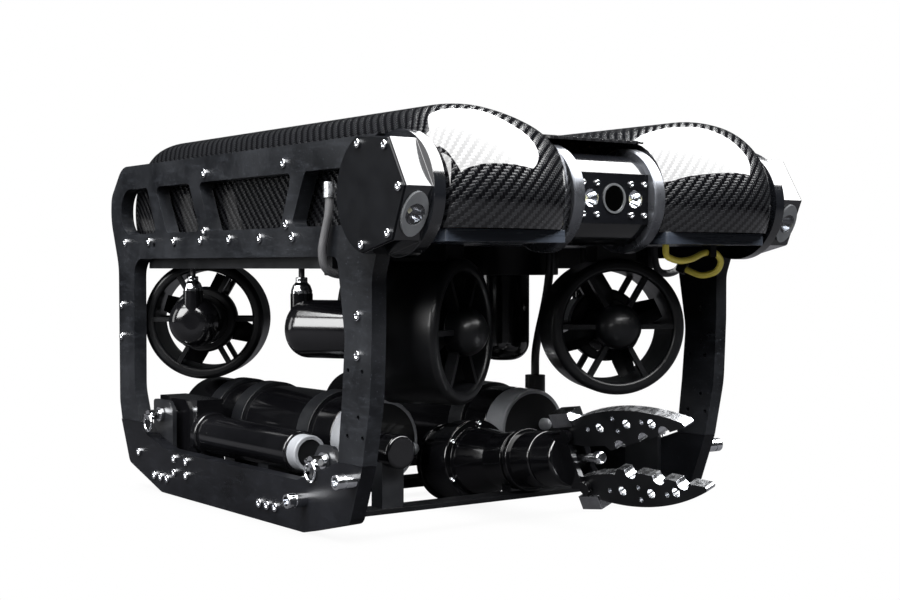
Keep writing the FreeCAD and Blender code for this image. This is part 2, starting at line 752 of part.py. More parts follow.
def thruster_places():
    """Name, placement and motor reach of each thruster; local +X is the open side."""
    places = []
    for side, sign in (("port", 1), ("starboard", -1)):
        front = Placement(Vector(D.front_thruster_x, sign * (plate_inner() - D.front_thruster_inset), D.thruster_z),
                          Rotation(Z_WAY, -sign * D.front_thruster_yaw))
        rear = Placement(Vector(-D.rear_thruster_x, sign * (plate_inner() - D.rear_thruster_inset), D.thruster_z),
                         Rotation(Z_WAY, 180 + sign * D.rear_thruster_yaw))
        lift = Placement(Vector(-D.lift_thruster_x, sign * D.lift_thruster_y, D.lift_thruster_z),
                         Rotation(X_WAY, Z_WAY))
        places.append(("front_" + side, front, D.front_pod_reach))
        places.append(("rear_" + side, rear, D.rear_pod_reach))
        places.append(("lift_" + side, lift, D.lift_thruster_z - D.lift_pod_bottom))
    return places


def thrusters():
    ducts = {"horizontal": horizontal_duct(), "lift": lift_duct()}
    blades = propeller()
    DOC.recompute()
    used = set()
    pods = []
    glands = []
    leads = []
    for name, place, reach in thruster_places():
        lift = name.startswith("lift")
        source = ducts["lift" if lift else "horizontal"]
        if source.Name in used:
            instance("duct_" + name, source, place)
        else:
            used.add(source.Name)
            source.Placement = place
            keep(source, "duct_" + name)
        if blades.Name in used:
            instance("propeller_" + name, blades, place)
        else:
            used.add(blades.Name)
            blades.Placement = place
            keep(blades, "propeller_" + name)
        pod = motor_pod(reach, not lift)
        pod.Placement = place
        pods.append(pod)
        if lift:
            continue
        gland = gland_shape(reach)
        gland.Placement = place * gland.Placement
        glands.append(gland)
        top = place.multVec(Vector(D.gland_inset - reach, 0, D.motor_radius + 6 + D.gland_height))
        leads.append(round_bar(3, D.deck_bottom - top.z, top, Z_WAY))
    group("motor_pods", pods)
    group("pod_glands", glands)
    leads.append(tube_along(vectors(CONTROL_ROUTE), D.control_diameter, "control lead"))
    group("black_leads", leads)


# ---------------------------------------------------------------- tilting head

def about_axis(shape):
    """Moves a shape drawn about the origin onto the tilt axis."""
    shape.translate(Vector(D.head_x, 0, D.head_z))
    return shape


def camera_head():
    half = D.head_half_length
    barrel = round_bar(D.head_radius, 2 * half, Vector(0, -half, 0), Y_WAY)
    flat = Part.makeBox(40, 2 * half, 120, Vector(D.head_flat, -half, -60))
    housing = barrel.cut(flat)
    flanges = [round_bar(D.end_flange_radius, D.end_flange_thickness, Vector(0, y, 0), Y_WAY)
               for y in (half, -half - D.end_flange_thickness)]
    flanges = [flange.makeChamfer(1.5, [edge for edge in flange.Edges if edge.isClosed()]) for flange in flanges]
    keep(feature("camera_housing", about_axis(housing)), "camera_housing")
    group("housing_flanges", [about_axis(flange) for flange in flanges])
    camera_front()
    head_shafts()


def camera_front():
    """Front plate with the camera window between two small lamps, on the housing's flat."""
    half = D.head_half_length
    height = 2 * math.sqrt(D.head_radius ** 2 - D.head_flat ** 2) - 0.6
    plate = Part.makeBox(3, 2 * half, height, Vector(D.head_flat, -half, -height / 2))
    openings = [(0, 14), (-27, 8.5), (27, 8.5)]
    bores = [round_bar(radius, 10, Vector(D.head_flat - 1, y, 0), X_WAY) for y, radius in openings]
    keep(feature("camera_front", about_axis(plate.cut(bores))), "camera_front")
    glass = [round_bar(11.9, 1.4, Vector(D.head_flat + 1.2, 0, 0), X_WAY)]
    glass += [round_bar(8.4, 2.6, Vector(D.head_flat, y, 0), X_WAY) for y in (-27, 27)]
    group("camera_glass", [about_axis(piece) for piece in glass])


def head_shafts():
    start = D.head_half_length + D.end_flange_thickness
    length = pod_start() - start
    shapes = [round_bar(D.shaft_radius, length, Vector(0, start, 0), Y_WAY)]
    shapes.append(mirrored(shapes[0]))
    group("tilt_shafts", [about_axis(shape) for shape in shapes])
    blocks = []
    for low, wide in ((D.shell_inner + D.shell_wall + 1, 12), (shell_outer() - D.shell_wall - 16, 14)):
        drop = D.head_z - deck_top()
        block = Part.makeBox(44, wide, drop, Vector(-22, low, -drop))
        block = block.fuse(round_bar(20, wide, Vector(0, low, 0), Y_WAY))
        block = block.cut(round_bar(D.shaft_radius + D.running_gap, wide + 2, Vector(0, low - 1, 0), Y_WAY))
        blocks += [block.removeSplitter(), mirrored(block.removeSplitter())]
    group("tilt_bearings", [about_axis(block) for block in blocks])


def pod_start():
    return shell_outer() + D.part_gap


POD_CORNERS = (112, 58, 4, -50, -104)


def pod_outline(radius):
    """Round at the back, four flats between five corners at the front; drawn as (forward, up)."""
    corners = [Vector(radius * math.cos(math.radians(a)), radius * math.sin(math.radians(a)), 0)
               for a in POD_CORNERS]
    edges = [Part.LineSegment(corners[i], corners[i + 1]).toShape() for i in range(len(corners) - 1)]
    edges.append(Part.Arc(corners[-1], Vector(-radius, 0, 0), corners[0]).toShape())
    return Part.Face(Part.Wire(edges))


def upright(face, start, depth):
    """Extrudes a (forward, up) face sideways to starboard from y = -start."""
    face.rotate(ZERO, X_WAY, 90)
    face.translate(Vector(0, -start, 0))
    return face.extrude(Vector(0, -depth, 0))


def lamp_place(out):
    """Placement on the pod's lower front flat: local +X along its outward normal."""
    angle = (POD_CORNERS[2] + POD_CORNERS[3]) / 2
    reach = D.light_pod_radius * math.cos(math.radians((POD_CORNERS[2] - POD_CORNERS[3]) / 2)) + out
    turn = Rotation(Y_WAY, -angle)
    middle = pod_start() + D.pod_flange_thickness + D.light_pod_depth / 2
    return Placement(turn.multVec(Vector(reach, 0, 0)) + Vector(0, -middle, 0), turn)


def light_pods():
    start = pod_start()
    seat = start + D.pod_flange_thickness
    flange = round_bar(D.pod_flange_radius, D.pod_flange_thickness, Vector(0, -start, 0), -Y_WAY)
    body = upright(pod_outline(D.light_pod_radius), seat, D.light_pod_depth)
    pod = about_axis(flange.fuse(body).removeSplitter())
    keep(feature("light_pod_starboard", pod), "light_pod_starboard")
    keep(feature("light_pod_port", mirrored(pod)), "light_pod_port")
    outside = seat + D.light_pod_depth
    cover = about_axis(upright(pod_outline(D.light_pod_radius - 1), outside, D.cover_thickness))
    group("pod_covers", [cover, mirrored(cover)])
    pod_screws(outside + D.cover_thickness)
    lamps()


def pod_screws(face):
    radius = D.light_pod_radius - 8
    shapes = []
    for angle in POD_CORNERS:
        place = Vector(radius * math.cos(math.radians(angle)), -face, radius * math.sin(math.radians(angle)))
        head = socket_head(4, 2.6, place, -Y_WAY)
        shapes += [about_axis(head), mirrored(head)]
    for y in (-37.7, -21, 21, 37.7):
        for z in (-15.2, 13.5):
            shapes.append(about_axis(socket_head(2.7, 2, Vector(D.head_flat + 3, y, z), X_WAY)))
    group("head_screws", shapes)


def camera_bezel():
    return turned_shape([(0, 0, 0), (0, 13.95, 0), (4, 13.95, 0), (4, 12, 0), (1.2, 12, 0), (1.2, 0, 0)],
                        Vector(D.head_flat, 0, 0))


def lamps():
    """Oval bezel and round glass on each pod's lower front flat, and the ring round the camera window."""
    depth = 2.6
    oval = Part.Wire(Part.Ellipse(ZERO, 20, 12.4).toShape())
    face = open_face(oval, [disc(0, 0, 9.5)])
    face.rotate(ZERO, Y_WAY, 90)
    bezel = face.extrude(Vector(depth, 0, 0))
    bezel.Placement = lamp_place(0) * bezel.Placement
    glass = round_bar(9.4, 1.8, ZERO, X_WAY)
    glass.Placement = lamp_place(0) * glass.Placement
    bezel = about_axis(bezel)
    glass = about_axis(glass)
    group("lens_bezels", [bezel, mirrored(bezel), about_axis(camera_bezel())])
    group("lamp_glasses", [glass, mirrored(glass)])


# ---------------------------------------------------------------- skid load

def pressure_tubes():
    """Two long housings with a tapered rear nose and a flat front cap."""
    radius = D.tube_radius
    rear = -D.tube_rear
    front = D.tube_front
    outline = [(rear, 0, 0), (rear, 30, 8), (rear + 22, radius, 10), (front, radius, 1.5), (front, 0, 0)]
    for side, sign in (("starboard", -1), ("port", 1)):
        label = "pressure_tube_" + side
        keep(turned(label, outline, Placement(Vector(0, sign * D.tube_y, D.tube_z), Rotation())), label)
    cap = [(front, 0, 0), (front, radius - 0.5, 0), (front + 30, radius - 0.5, 2), (front + 30, 0, 0)]
    shapes = [turned_shape(cap, Vector(0, sign * D.tube_y, D.tube_z)) for sign in (-1, 1)]
    shapes.append(canister_cap())
    group("end_caps", shapes)
    bands(radius)


def bands(radius):
    """Split clamps around the tubes with feet on the skid bars."""
    shapes = []
    top = D.bar_bottom + D.bar_height
    for x in BAR_PLACES:
        outer = radius + D.band_thickness
        ring = turned_shape([(-12, radius, 0), (-12, outer, 0.8), (12, outer, 0.8), (12, radius, 0)],
                            Vector(x, -D.tube_y, D.tube_z))
        foot = Part.makeBox(24, 44, D.tube_z - radius - top + 6, Vector(x - 12, -D.tube_y - 22, top))
        bore = round_bar(radius, 60, Vector(x - 30, -D.tube_y, D.tube_z), X_WAY)
        clamp = ring.fuse(foot.cut(bore)).removeSplitter()
        shapes += [clamp, mirrored(clamp)]
    group("tube_clamps", shapes + canister_saddles())


CANISTER = (-204, -2)
SHORT_CANISTER = (66, 150)
JUNCTION = (-300, 13, 94, 32, 82)


def canister_way():
    return Vector(0, D.canister_inset - plate_inner(), D.canister_z)


def short_canister_way():
    return Vector(0, D.short_canister_inset - plate_inner(), D.short_canister_z)


def canister_cap():
    end = CANISTER[1]
    return turned_shape([(end, 0, 0), (end, 18, 0), (end + 16, 18, 1.5), (end + 16, 14, 0), (end + 13, 14, 0),
                         (end + 13, 0, 0)], canister_way())


def canisters():
    """A long and a short sensor housing on the starboard side, and the junction block behind them."""
    radius = D.canister_radius
    rear, front = CANISTER
    long_one = turned_shape([(rear, 0, 0), (rear, radius + 3, 2), (rear + 12, radius + 3, 2),
                             (rear + 12, radius, 0), (front, radius, 2), (front, 0, 0)], canister_way())
    rear, front = SHORT_CANISTER
    radius = D.short_canister_radius
    short_one = turned_shape([(rear, 0, 0), (rear, radius + 1, 1), (front - 22, radius + 1, 0),
                              (front - 22, radius - 1, 0), (front - 19, radius - 1, 0),
                              (front - 19, radius + 1, 0), (front, radius + 1, 3), (front, 0, 0)],
                             short_canister_way())
    x, inset, length, width, height = JUNCTION
    corner = Vector(x, inset - plate_inner(), D.bar_bottom + D.bar_height)
    block = Part.makeBox(length, width, height, corner)
    group("sensor_canisters", [long_one, short_one, block])


def canister_saddles():
    """Feet on the skid bars under the two canisters."""
    bar_top = D.bar_bottom + D.bar_height
    start, _, bottom, height = FRONT_BAR
    radius = D.canister_radius
    long_way = canister_way()
    short_way = short_canister_way()
    feet = [(BAR_PLACES[1] + 1, 12, bar_top, radius + 3, long_way), (BAR_PLACES[2] - 10, 20, bar_top, radius, long_way),
            (start + 3, 18, bottom + height, D.short_canister_radius + 1, short_way)]
    shapes = []
    for x, length, floor, bore, way in feet:
        foot = Part.makeBox(length, 24, way.z - floor - 9, Vector(x, way.y - 12, floor))
        shapes.append(foot.cut(round_bar(bore, 60, Vector(x - 20, way.y, way.z), X_WAY)))
    return shapes


# ---------------------------------------------------------------- grabber

def arm_place(roll):
    """Local X along the arm, local Z up across the jaws, from the flange centre."""
    tilt = Rotation(Y_WAY, -D.arm_tilt)
    return Placement(Vector(D.arm_x, 0, D.arm_z), tilt * Rotation(X_WAY, roll))


def grabber_body():
    """Actuator, flange and forearm in one turned housing, with the flange's screws."""
    big = D.arm_rear_radius
    flange = D.arm_flange_radius
    slim = D.forearm_radius
    end = D.forearm_end
    outline = [(-46, 0, 0), (-46, big - 4, 3), (-40, big, 1), (-34, big, 1), (-34, big - 2, 0), (-14, big - 2, 0),
               (-14, flange, 1), (14, flange, 2), (14, 36, 0.5), (22, 35, 10), (58, slim, 12), (93, slim, 0),
               (93, slim + 3, 1), (99, slim + 3, 1), (99, slim, 0), (end, slim, 2), (end, 0, 0)]
    place = arm_place(0)
    keep(turned("grabber_body", outline, place), "grabber_body")
    heads = []
    for i in range(6):
        turn = Rotation(X_WAY, 60 * i - 5)
        head = socket_head(2.6, 2.4, turn.multVec(Vector(14, 0, 39)), X_WAY)
        head.Placement = place * head.Placement
        heads.append(head)
    group("grabber_screws", heads)
    grabber_clamp(place)


def grabber_clamp(place):
    """Low saddle under the forearm on the front skid bar, with a thin strap."""
    start, _, bottom, height = FRONT_BAR
    slim = D.forearm_radius
    strap = turned_shape([(78, slim, 0), (78, slim + 1.5, 0.5), (88, slim + 1.5, 0.5), (88, slim, 0)])
    strap.Placement = place
    foot = Part.makeBox(15, 34, 14, Vector(start, -17, bottom + height))
    bore = round_bar(slim, 200, ZERO, X_WAY)
    bore.Placement = place * bore.Placement
    group("grabber_clamp", [strap.fuse(foot.cut(bore)).removeSplitter()])


def wrist():
    """Turning wrist with a fork on both sides of the jaw plates and the two jaw pins."""
    start = D.forearm_end + D.part_gap
    end = D.wrist_end
    radius = D.wrist_radius
    bore = D.rod_radius + D.running_gap
    body = turned_shape([(start, bore, 0), (start, radius, 2), (end, radius, 3), (end, bore, 0)])
    pieces = [body]
    gap = D.jaw_thickness / 2 + D.part_gap
    high = D.jaw_pivot_height
    for low in (gap, -gap - D.ear_thickness):
        pieces.append(Part.makeBox(D.jaw_pivot - end + 1, D.ear_thickness, 2 * high, Vector(end - 1, low, -high)))
        pieces += [round_bar(6.5, D.ear_thickness, Vector(D.jaw_pivot, low, sign * high), Y_WAY) for sign in (-1, 1)]
    for sign in (-1, 1):
        start = Vector(D.jaw_pivot, -gap - D.ear_thickness, sign * high)
        pieces.append(round_bar(D.jaw_pin, 2 * (gap + D.ear_thickness), start, Y_WAY))
    shape = pieces[0].fuse(pieces[1:]).removeSplitter()
    keep(feature("grabber_wrist", shape, arm_place(D.arm_roll)), "grabber_wrist")


def jaw_slope():
    return math.tan(math.radians(D.jaw_close))


def grip_edge(x):
    """Height of the gripping edge, level with its twin's when both jaws are closed."""
    return (x - D.jaw_pivot) * jaw_slope() - 0.2


def jaw_outline():
    """Leaf-shaped jaw as (along, up): curved back, and a gripping edge that meets its twin when closed."""
    tip = D.jaw_tip
    back = Part.Arc(Vector(184, 39, 0), Vector(256, 47.5, 0), Vector(tip - 2, 32.5, 0)).toShape()
    points = [(tip - 2, 32.5), (tip, 29.5), (tip - 1, grip_edge(tip - 1)), (228, grip_edge(228)), (222, 14),
              (196, 14), (170, 18), (168, 33), (165, 36), (165, 39), (184, 39)]
    vectors = [Vector(x, y, 0) for x, y in points]
    return Part.Wire([back] + Part.makePolygon(vectors).Edges)


JAW_HOLES = [(224, 31.5), (261, 34), (293, 33)]
JAW_SMALL_HOLES = [(207, 31), (245, 40), (247, 28), (281, 35)]
JAW_SCALLOPS = [243, 277, 305]


def jaw(label, sign):
    """A perforated jaw plate with its lug block; sign -1 turns it over."""
    pivot = D.jaw_pivot
    holes = [disc(pivot, D.jaw_pivot_height, D.jaw_pin + D.running_gap)]
    holes += [disc(x, y, D.jaw_hole) for x, y in JAW_HOLES]
    holes += [disc(x, y, D.jaw_small_hole) for x, y in JAW_SMALL_HOLES]
    holes += [disc(x, (x - pivot) * jaw_slope(), D.jaw_scallop) for x in JAW_SCALLOPS]
    face = open_face(jaw_outline(), holes)
    plate = face.extrude(Vector(0, 0, D.jaw_thickness))
    plate.translate(Vector(0, 0, -D.jaw_thickness / 2))
    plate.rotate(ZERO, X_WAY, 90)
    lug = Part.makeBox(27, 18, 13.5, Vector(pivot - 15, -9, 35.5))
    shape = plate.fuse(lug).removeSplitter()
    if sign < 0:
        shape = shape.mirror(ZERO, Z_WAY)
    keep(feature(label, shape, arm_place(D.arm_roll)), label)


def grabber_rod():
    """Screw and nut that work the jaws."""
    radius = D.rod_radius
    start = D.forearm_end + D.part_gap + 3
    nut = D.jaw_pivot + 20
    shape = turned_shape([(start, 0, 0), (start, radius, 0), (nut, radius, 0), (nut, 6, 1.5),
                          (nut + 8.5, 6, 2.5), (nut + 8.5, 0, 0)])
    keep(feature("grabber_rod", shape, arm_place(D.arm_roll)), "grabber_rod")


# ---------------------------------------------------------------- leads

# the hose's second number is measured from the side plate's face, outwards negative
HOSE_ROUTE = [(130, -6, 311), (130, -6, 298), (123, -6.5, 279), (119, -8, 262), (118, -4, 246),
              (117, 12, 241), (117, 27, 243), (117, 33, 256), (117, 33, 270)]
LEAD_ROUTE = [(232, 92, 270), (232, 92, 259), (231, 110, 254), (229, 130, 256), (227, 149, 263), (226, 166, 264),
              (224, 178, 255), (218, 178, 244), (204, 170, 239), (188, 164, 246)]
CONTROL_ROUTE = [(8, 112, 130), (8, 112, 154), (20, 107, 178), (38, 99, 201), (53, 92, 224), (62, 88, 247),
                 (62, 88, 270)]


def vectors(route):
    return [Vector(*point) for point in route]


def leads():
    side = Vector(0, -D.frame_width / 2, 0)
    hose = tube_along([point + side for point in vectors(HOSE_ROUTE)], D.hose_diameter, "lamp hose")
    group("lamp_hoses", [hose, mirrored(hose)])
    group("yellow_lead", [tube_along(vectors(LEAD_ROUTE), D.lead_diameter, "yellow lead")])


def fittings():
    """Elbows for the lamp hoses, the clip and end socket of the yellow lead, the control lead's plug."""
    x, reach, z = HOSE_ROUTE[0]
    y = reach - D.frame_width / 2
    upright_part = round_bar(5.6, 14, Vector(x, y, z), Z_WAY)
    stub = round_bar(5, -reach, Vector(x, y, z + 8), Y_WAY)
    elbow = upright_part.fuse(stub).removeSplitter()
    group("hose_elbows", [elbow, mirrored(elbow)])
    last = Vector(*LEAD_ROUTE[-1])
    before = Vector(*LEAD_ROUTE[-2])
    way = (last - before).normalize()
    socket = round_bar(5.5, 9, last, way)
    clip_at = (Vector(*LEAD_ROUTE[4]) + Vector(*LEAD_ROUTE[5])) / 2
    corner = Vector(clip_at.x - 6, clip_at.y - 4, clip_at.z - 5)
    clip = Part.makeBox(12, 8, D.deck_bottom - corner.z, corner)
    bore = tube_along(vectors(LEAD_ROUTE), D.lead_diameter + 2 * D.running_gap)
    plug = round_bar(11, 25, Vector(CONTROL_ROUTE[0][0], CONTROL_ROUTE[0][1], 105), Z_WAY)
    tube = round_bar(D.tube_radius, 60, Vector(-20, D.tube_y, D.tube_z), X_WAY)
    group("lead_fittings", [socket, clip.cut(bore), plug.cut(tube)])


# ---------------------------------------------------------------- whole vehicle

def build():
    fill_sheet()
    side_plates()
    skid_plates()
    splice_plates()
    deck()
    skid_bars()
    frame_screws()
    thumb_screws()
    release_pins()
    float_shells()
    centre_cover()
    buoyancy_foam()
    thrusters()
    camera_head()
    light_pods()
    pressure_tubes()
    canisters()
    grabber_body()
    wrist()
    jaw("jaw_upper", 1)
    jaw("jaw_lower", -1)
    grabber_rod()
    leads()
    fittings()
    DOC.recompute()


def check_and_write():
    for item in DOC.Objects:
        if "Invalid" in item.State or "Error" in item.State:
            raise RuntimeError(f"{item.Label} failed: {item.State}")
    for item in NODES:
        if item.Shape.isNull() or not item.Shape.isValid():
            raise RuntimeError(f"{item.Label} has no valid shape")
    os.makedirs("parts", exist_ok=True)
    for item in NODES:
        item.Placement = Placement(Vector(D.origin_shift, 0, 0), Rotation()) * item.Placement
        item.Shape.exportStep(f"parts/{item.Label}.step")
    print(len(NODES), "sub-parts written")


build()
check_and_write()
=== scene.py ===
"""Underwater inspection vehicle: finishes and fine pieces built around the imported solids.

Every length is in metres, +X forward, +Y port, +Z up.
"""

import json
import logging
import math
from dataclasses import dataclass, field
from enum import Enum

import bmesh
import bpy
import numpy as np
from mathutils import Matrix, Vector


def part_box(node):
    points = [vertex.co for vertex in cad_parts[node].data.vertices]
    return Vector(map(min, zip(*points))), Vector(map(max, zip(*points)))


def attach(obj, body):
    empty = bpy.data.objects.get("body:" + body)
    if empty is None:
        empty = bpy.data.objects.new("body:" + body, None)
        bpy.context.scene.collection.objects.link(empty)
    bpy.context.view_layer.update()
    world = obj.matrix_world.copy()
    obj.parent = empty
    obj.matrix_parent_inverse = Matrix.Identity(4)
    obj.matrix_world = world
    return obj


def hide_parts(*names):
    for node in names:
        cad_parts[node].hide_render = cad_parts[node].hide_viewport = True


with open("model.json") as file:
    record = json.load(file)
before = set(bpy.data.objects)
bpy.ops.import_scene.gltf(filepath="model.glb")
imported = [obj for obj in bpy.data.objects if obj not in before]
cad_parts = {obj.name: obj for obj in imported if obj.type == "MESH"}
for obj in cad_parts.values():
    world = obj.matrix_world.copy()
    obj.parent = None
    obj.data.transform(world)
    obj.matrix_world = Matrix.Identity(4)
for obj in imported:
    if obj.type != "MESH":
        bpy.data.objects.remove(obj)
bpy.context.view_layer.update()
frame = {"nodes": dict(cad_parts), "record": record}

LOG = logging.getLogger("inspection_vehicle")
MM = 0.001
SAME_POINT = 1e-7
Colour = tuple[float, float, float]


class Side(Enum):
    """Which flank of the vehicle a piece belongs to."""

    STARBOARD = -1
    PORT = 1

    @property
    def word(self) -> str:
        """The side's name as the nodes spell it."""
        return self.name.lower()


def tilt_axis() -> Vector:
    """Reads the camera head's tilt axis from its shafts.

    Returns:
        The middle of the axis.
    """
    low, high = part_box("tilt_shafts")
    return (Vector(low) + Vector(high)) / 2


AXIS = tilt_axis()


# ---------------------------------------------------------------- surfaces

def placed(name: str, data: bpy.types.ID) -> bpy.types.Object:
    """Puts an object that holds the given data into the scene.

    Args:
        name: The object's name.
        data: Its mesh, curve, camera or light.

    Returns:
        The new object.
    """
    piece = bpy.data.objects.new(name, data)
    bpy.context.scene.collection.objects.link(piece)
    return piece


def evaluated(piece: bpy.types.Object) -> bpy.types.Mesh:
    """A new mesh of the piece, as its curve or its modifiers make it."""
    bpy.context.view_layer.update()
    return bpy.data.meshes.new_from_object(piece.evaluated_get(bpy.context.evaluated_depsgraph_get()))


def report(piece: bpy.types.Object) -> None:
    """Logs a finished piece and how many faces it has."""
    LOG.info("made %s, %d faces", piece.name, len(piece.data.polygons))


def grid_piece(name: str, points: np.ndarray, wrap: bool = False,
               uv: np.ndarray | None = None) -> bpy.types.Object:
    """Makes a mesh from a grid of points with one quad per cell.

    Args:
        name: The piece's name.
        points: Array (rows, columns, 3) in metres.
        wrap: Whether the last column joins the first.
        uv: Array (rows, columns + wrap, 2) of surface coordinates in metres, or None.

    Returns:
        The new object, welded where rows or columns meet in a point.
    """
    rows, columns = points.shape[:2]
    i, j = np.meshgrid(np.arange(rows - 1), np.arange(columns - (not wrap)), indexing="ij")
    step = np.array([[0, 0], [1, 0], [1, 1], [0, 1]])
    corner_i = i.ravel()[:, None] + step[:, 0]
    corner_j = j.ravel()[:, None] + step[:, 1]
    faces = corner_i * columns + corner_j % columns
    mesh = bpy.data.meshes.new(name)
    mesh.from_pydata(points.reshape(-1, 3).tolist(), [], faces.tolist())
    if uv is not None:
        layer = mesh.uv_layers.new(name="weave")
        layer.data.foreach_set("uv", uv[corner_i, corner_j].reshape(-1).astype(np.float32))
    piece = placed(name, mesh)
    weld(piece)
    return piece


def weld(piece: bpy.types.Object) -> None:
    """Merges doubled points, drops collapsed faces and turns the faces outwards.

    Args:
        piece: The mesh object to clean.
    """
    work = bmesh.new()
    work.from_mesh(piece.data)
    bmesh.ops.remove_doubles(work, verts=work.verts, dist=SAME_POINT)
    bmesh.ops.dissolve_degenerate(work, edges=work.edges, dist=SAME_POINT)
    bmesh.ops.recalc_face_normals(work, faces=work.faces)
    work.to_mesh(piece.data)
    work.free()


def shade(piece: bpy.types.Object, angle: float = 30.0, weighted: bool = False) -> None:
    """Smooth shading with creases kept above an angle.

    Args:
        piece: The mesh object.
        angle: Crease angle in degrees.
        weighted: Whether large faces keep their own normal over small ones.
    """
    piece.data.shade_smooth()
    piece.data.set_sharp_from_angle(angle=math.radians(angle))
    if weighted:
        modifier = piece.modifiers.new("even_normals", "WEIGHTED_NORMAL")
        modifier.weight = 100
        modifier.keep_sharp = True


def axes_of(way: Vector) -> tuple[np.ndarray, np.ndarray, np.ndarray]:
    """Three unit vectors, the first along the given way.

    Args:
        way: The main direction.

    Returns:
        The direction and two directions across it.
    """
    along = np.array(way, float)
    along /= np.linalg.norm(along)
    spare = np.array([0.0, 0.0, 1.0]) if abs(along[2]) < 0.9 else np.array([1.0, 0.0, 0.0])
    first = np.cross(spare, along)
    first /= np.linalg.norm(first)
    return along, first, np.cross(along, first)


def lathe(name: str, profile: list[tuple[float, float]], centre: Vector, way: Vector,
          turns: int = 32) -> bpy.types.Object:
    """Turns a profile about an axis: point = centre + x * along + r * (cos a * first + sin a * second).

    Args:
        name: The piece's name.
        profile: (distance along the axis, radius) pairs in metres.
        centre: Where the profile's zero lies.
        way: Direction of the axis.
        turns: Number of steps round the axis.

    Returns:
        The turned piece.
    """
    along, first, second = axes_of(way)
    x, radius = np.array(profile, float).T
    angle = np.linspace(0, 2 * math.pi, turns, endpoint=False)
    ring = np.cos(angle)[:, None] * first + np.sin(angle)[:, None] * second
    points = np.array(centre) + x[:, None, None] * along + radius[:, None, None] * ring[None]
    return grid_piece(name, points, wrap=True)


def tube(name: str, path: np.ndarray, radius: float, turns: int = 20) -> bpy.types.Object:
    """A round tube along a path: each ring lies across the path's tangent, carried on without twist.

    Args:
        name: The piece's name.
        path: Array (n, 3) of centre points.
        radius: Tube radius.
        turns: Steps round the tube.

    Returns:
        The tube, with surface coordinates (length, way round) in metres.
    """
    tangent = np.gradient(path, axis=0)
    tangent /= np.linalg.norm(tangent, axis=1)[:, None]
    first = np.empty_like(path)
    first[0] = axes_of(Vector(tangent[0]))[1]
    for i in range(1, len(path)):
        carried = first[i - 1] - tangent[i] * (first[i - 1] @ tangent[i])
        first[i] = carried / np.linalg.norm(carried)
    second = np.cross(tangent, first)
    angle = np.linspace(0, 2 * math.pi, turns, endpoint=False)
    ring = np.cos(angle)[None, :, None] * first[:, None] + np.sin(angle)[None, :, None] * second[:, None]
    run = np.concatenate([[0], np.cumsum(np.linalg.norm(np.diff(path, axis=0), axis=1))])
    around = np.linspace(0, 2 * math.pi * radius, turns + 1)
    uv = np.stack(np.meshgrid(run, around, indexing="ij"), axis=-1)
    return grid_piece(name, path[:, None] + radius * ring, wrap=True, uv=uv)


def route_line(route: list[tuple[float, float, float]]) -> np.ndarray:
    """Points along the smooth line that a route in millimetres controls.

    Args:
        route: Control points in millimetres.

    Returns:
        Array (n, 3) in metres.
    """
    curve = bpy.data.curves.new("route", "CURVE")
    curve.dimensions = "3D"
    curve.resolution_u = 12
    spline = curve.splines.new("NURBS")
    spline.points.add(len(route) - 1)
    for point, place in zip(spline.points, route):
        point.co = (*(v * MM for v in place), 1.0)
    spline.order_u = 3
    spline.use_endpoint_u = True
    holder = placed("route", curve)
    mesh = evaluated(holder)
    line = np.empty(len(mesh.vertices) * 3)
    mesh.vertices.foreach_get("co", line)
    bpy.data.objects.remove(holder)
    return line.reshape(-1, 3)


def joined(name: str, pieces: list[bpy.types.Object]) -> bpy.types.Object:
    """Joins like pieces into one.

    Args:
        name: Name of the result.
        pieces: Mesh objects that share a finish.

    Returns:
        The first object, holding all the meshes.
    """
    work = bmesh.new()
    for piece in pieces:
        work.from_mesh(piece.data)
    work.to_mesh(pieces[0].data)
    work.free()
    for piece in pieces[1:]:
        bpy.data.objects.remove(piece)
    pieces[0].name = name
    return pieces[0]


def carve(piece: bpy.types.Object, cutters: list[bpy.types.Object]) -> None:
    """Applies a piece's modifiers and takes solids out of it, which are then removed.

    Args:
        piece: The mesh object.
        cutters: Closed solids to take out, one after another.
    """
    for cutter in cutters:
        hole = piece.modifiers.new("recess", "BOOLEAN")
        hole.object = cutter
        hole.operation = "DIFFERENCE"
        hole.solver = "EXACT"
    made = evaluated(piece)
    piece.modifiers.clear()
    piece.data = made
    for cutter in cutters:
        bpy.data.objects.remove(cutter)


# ---------------------------------------------------------------- finishes

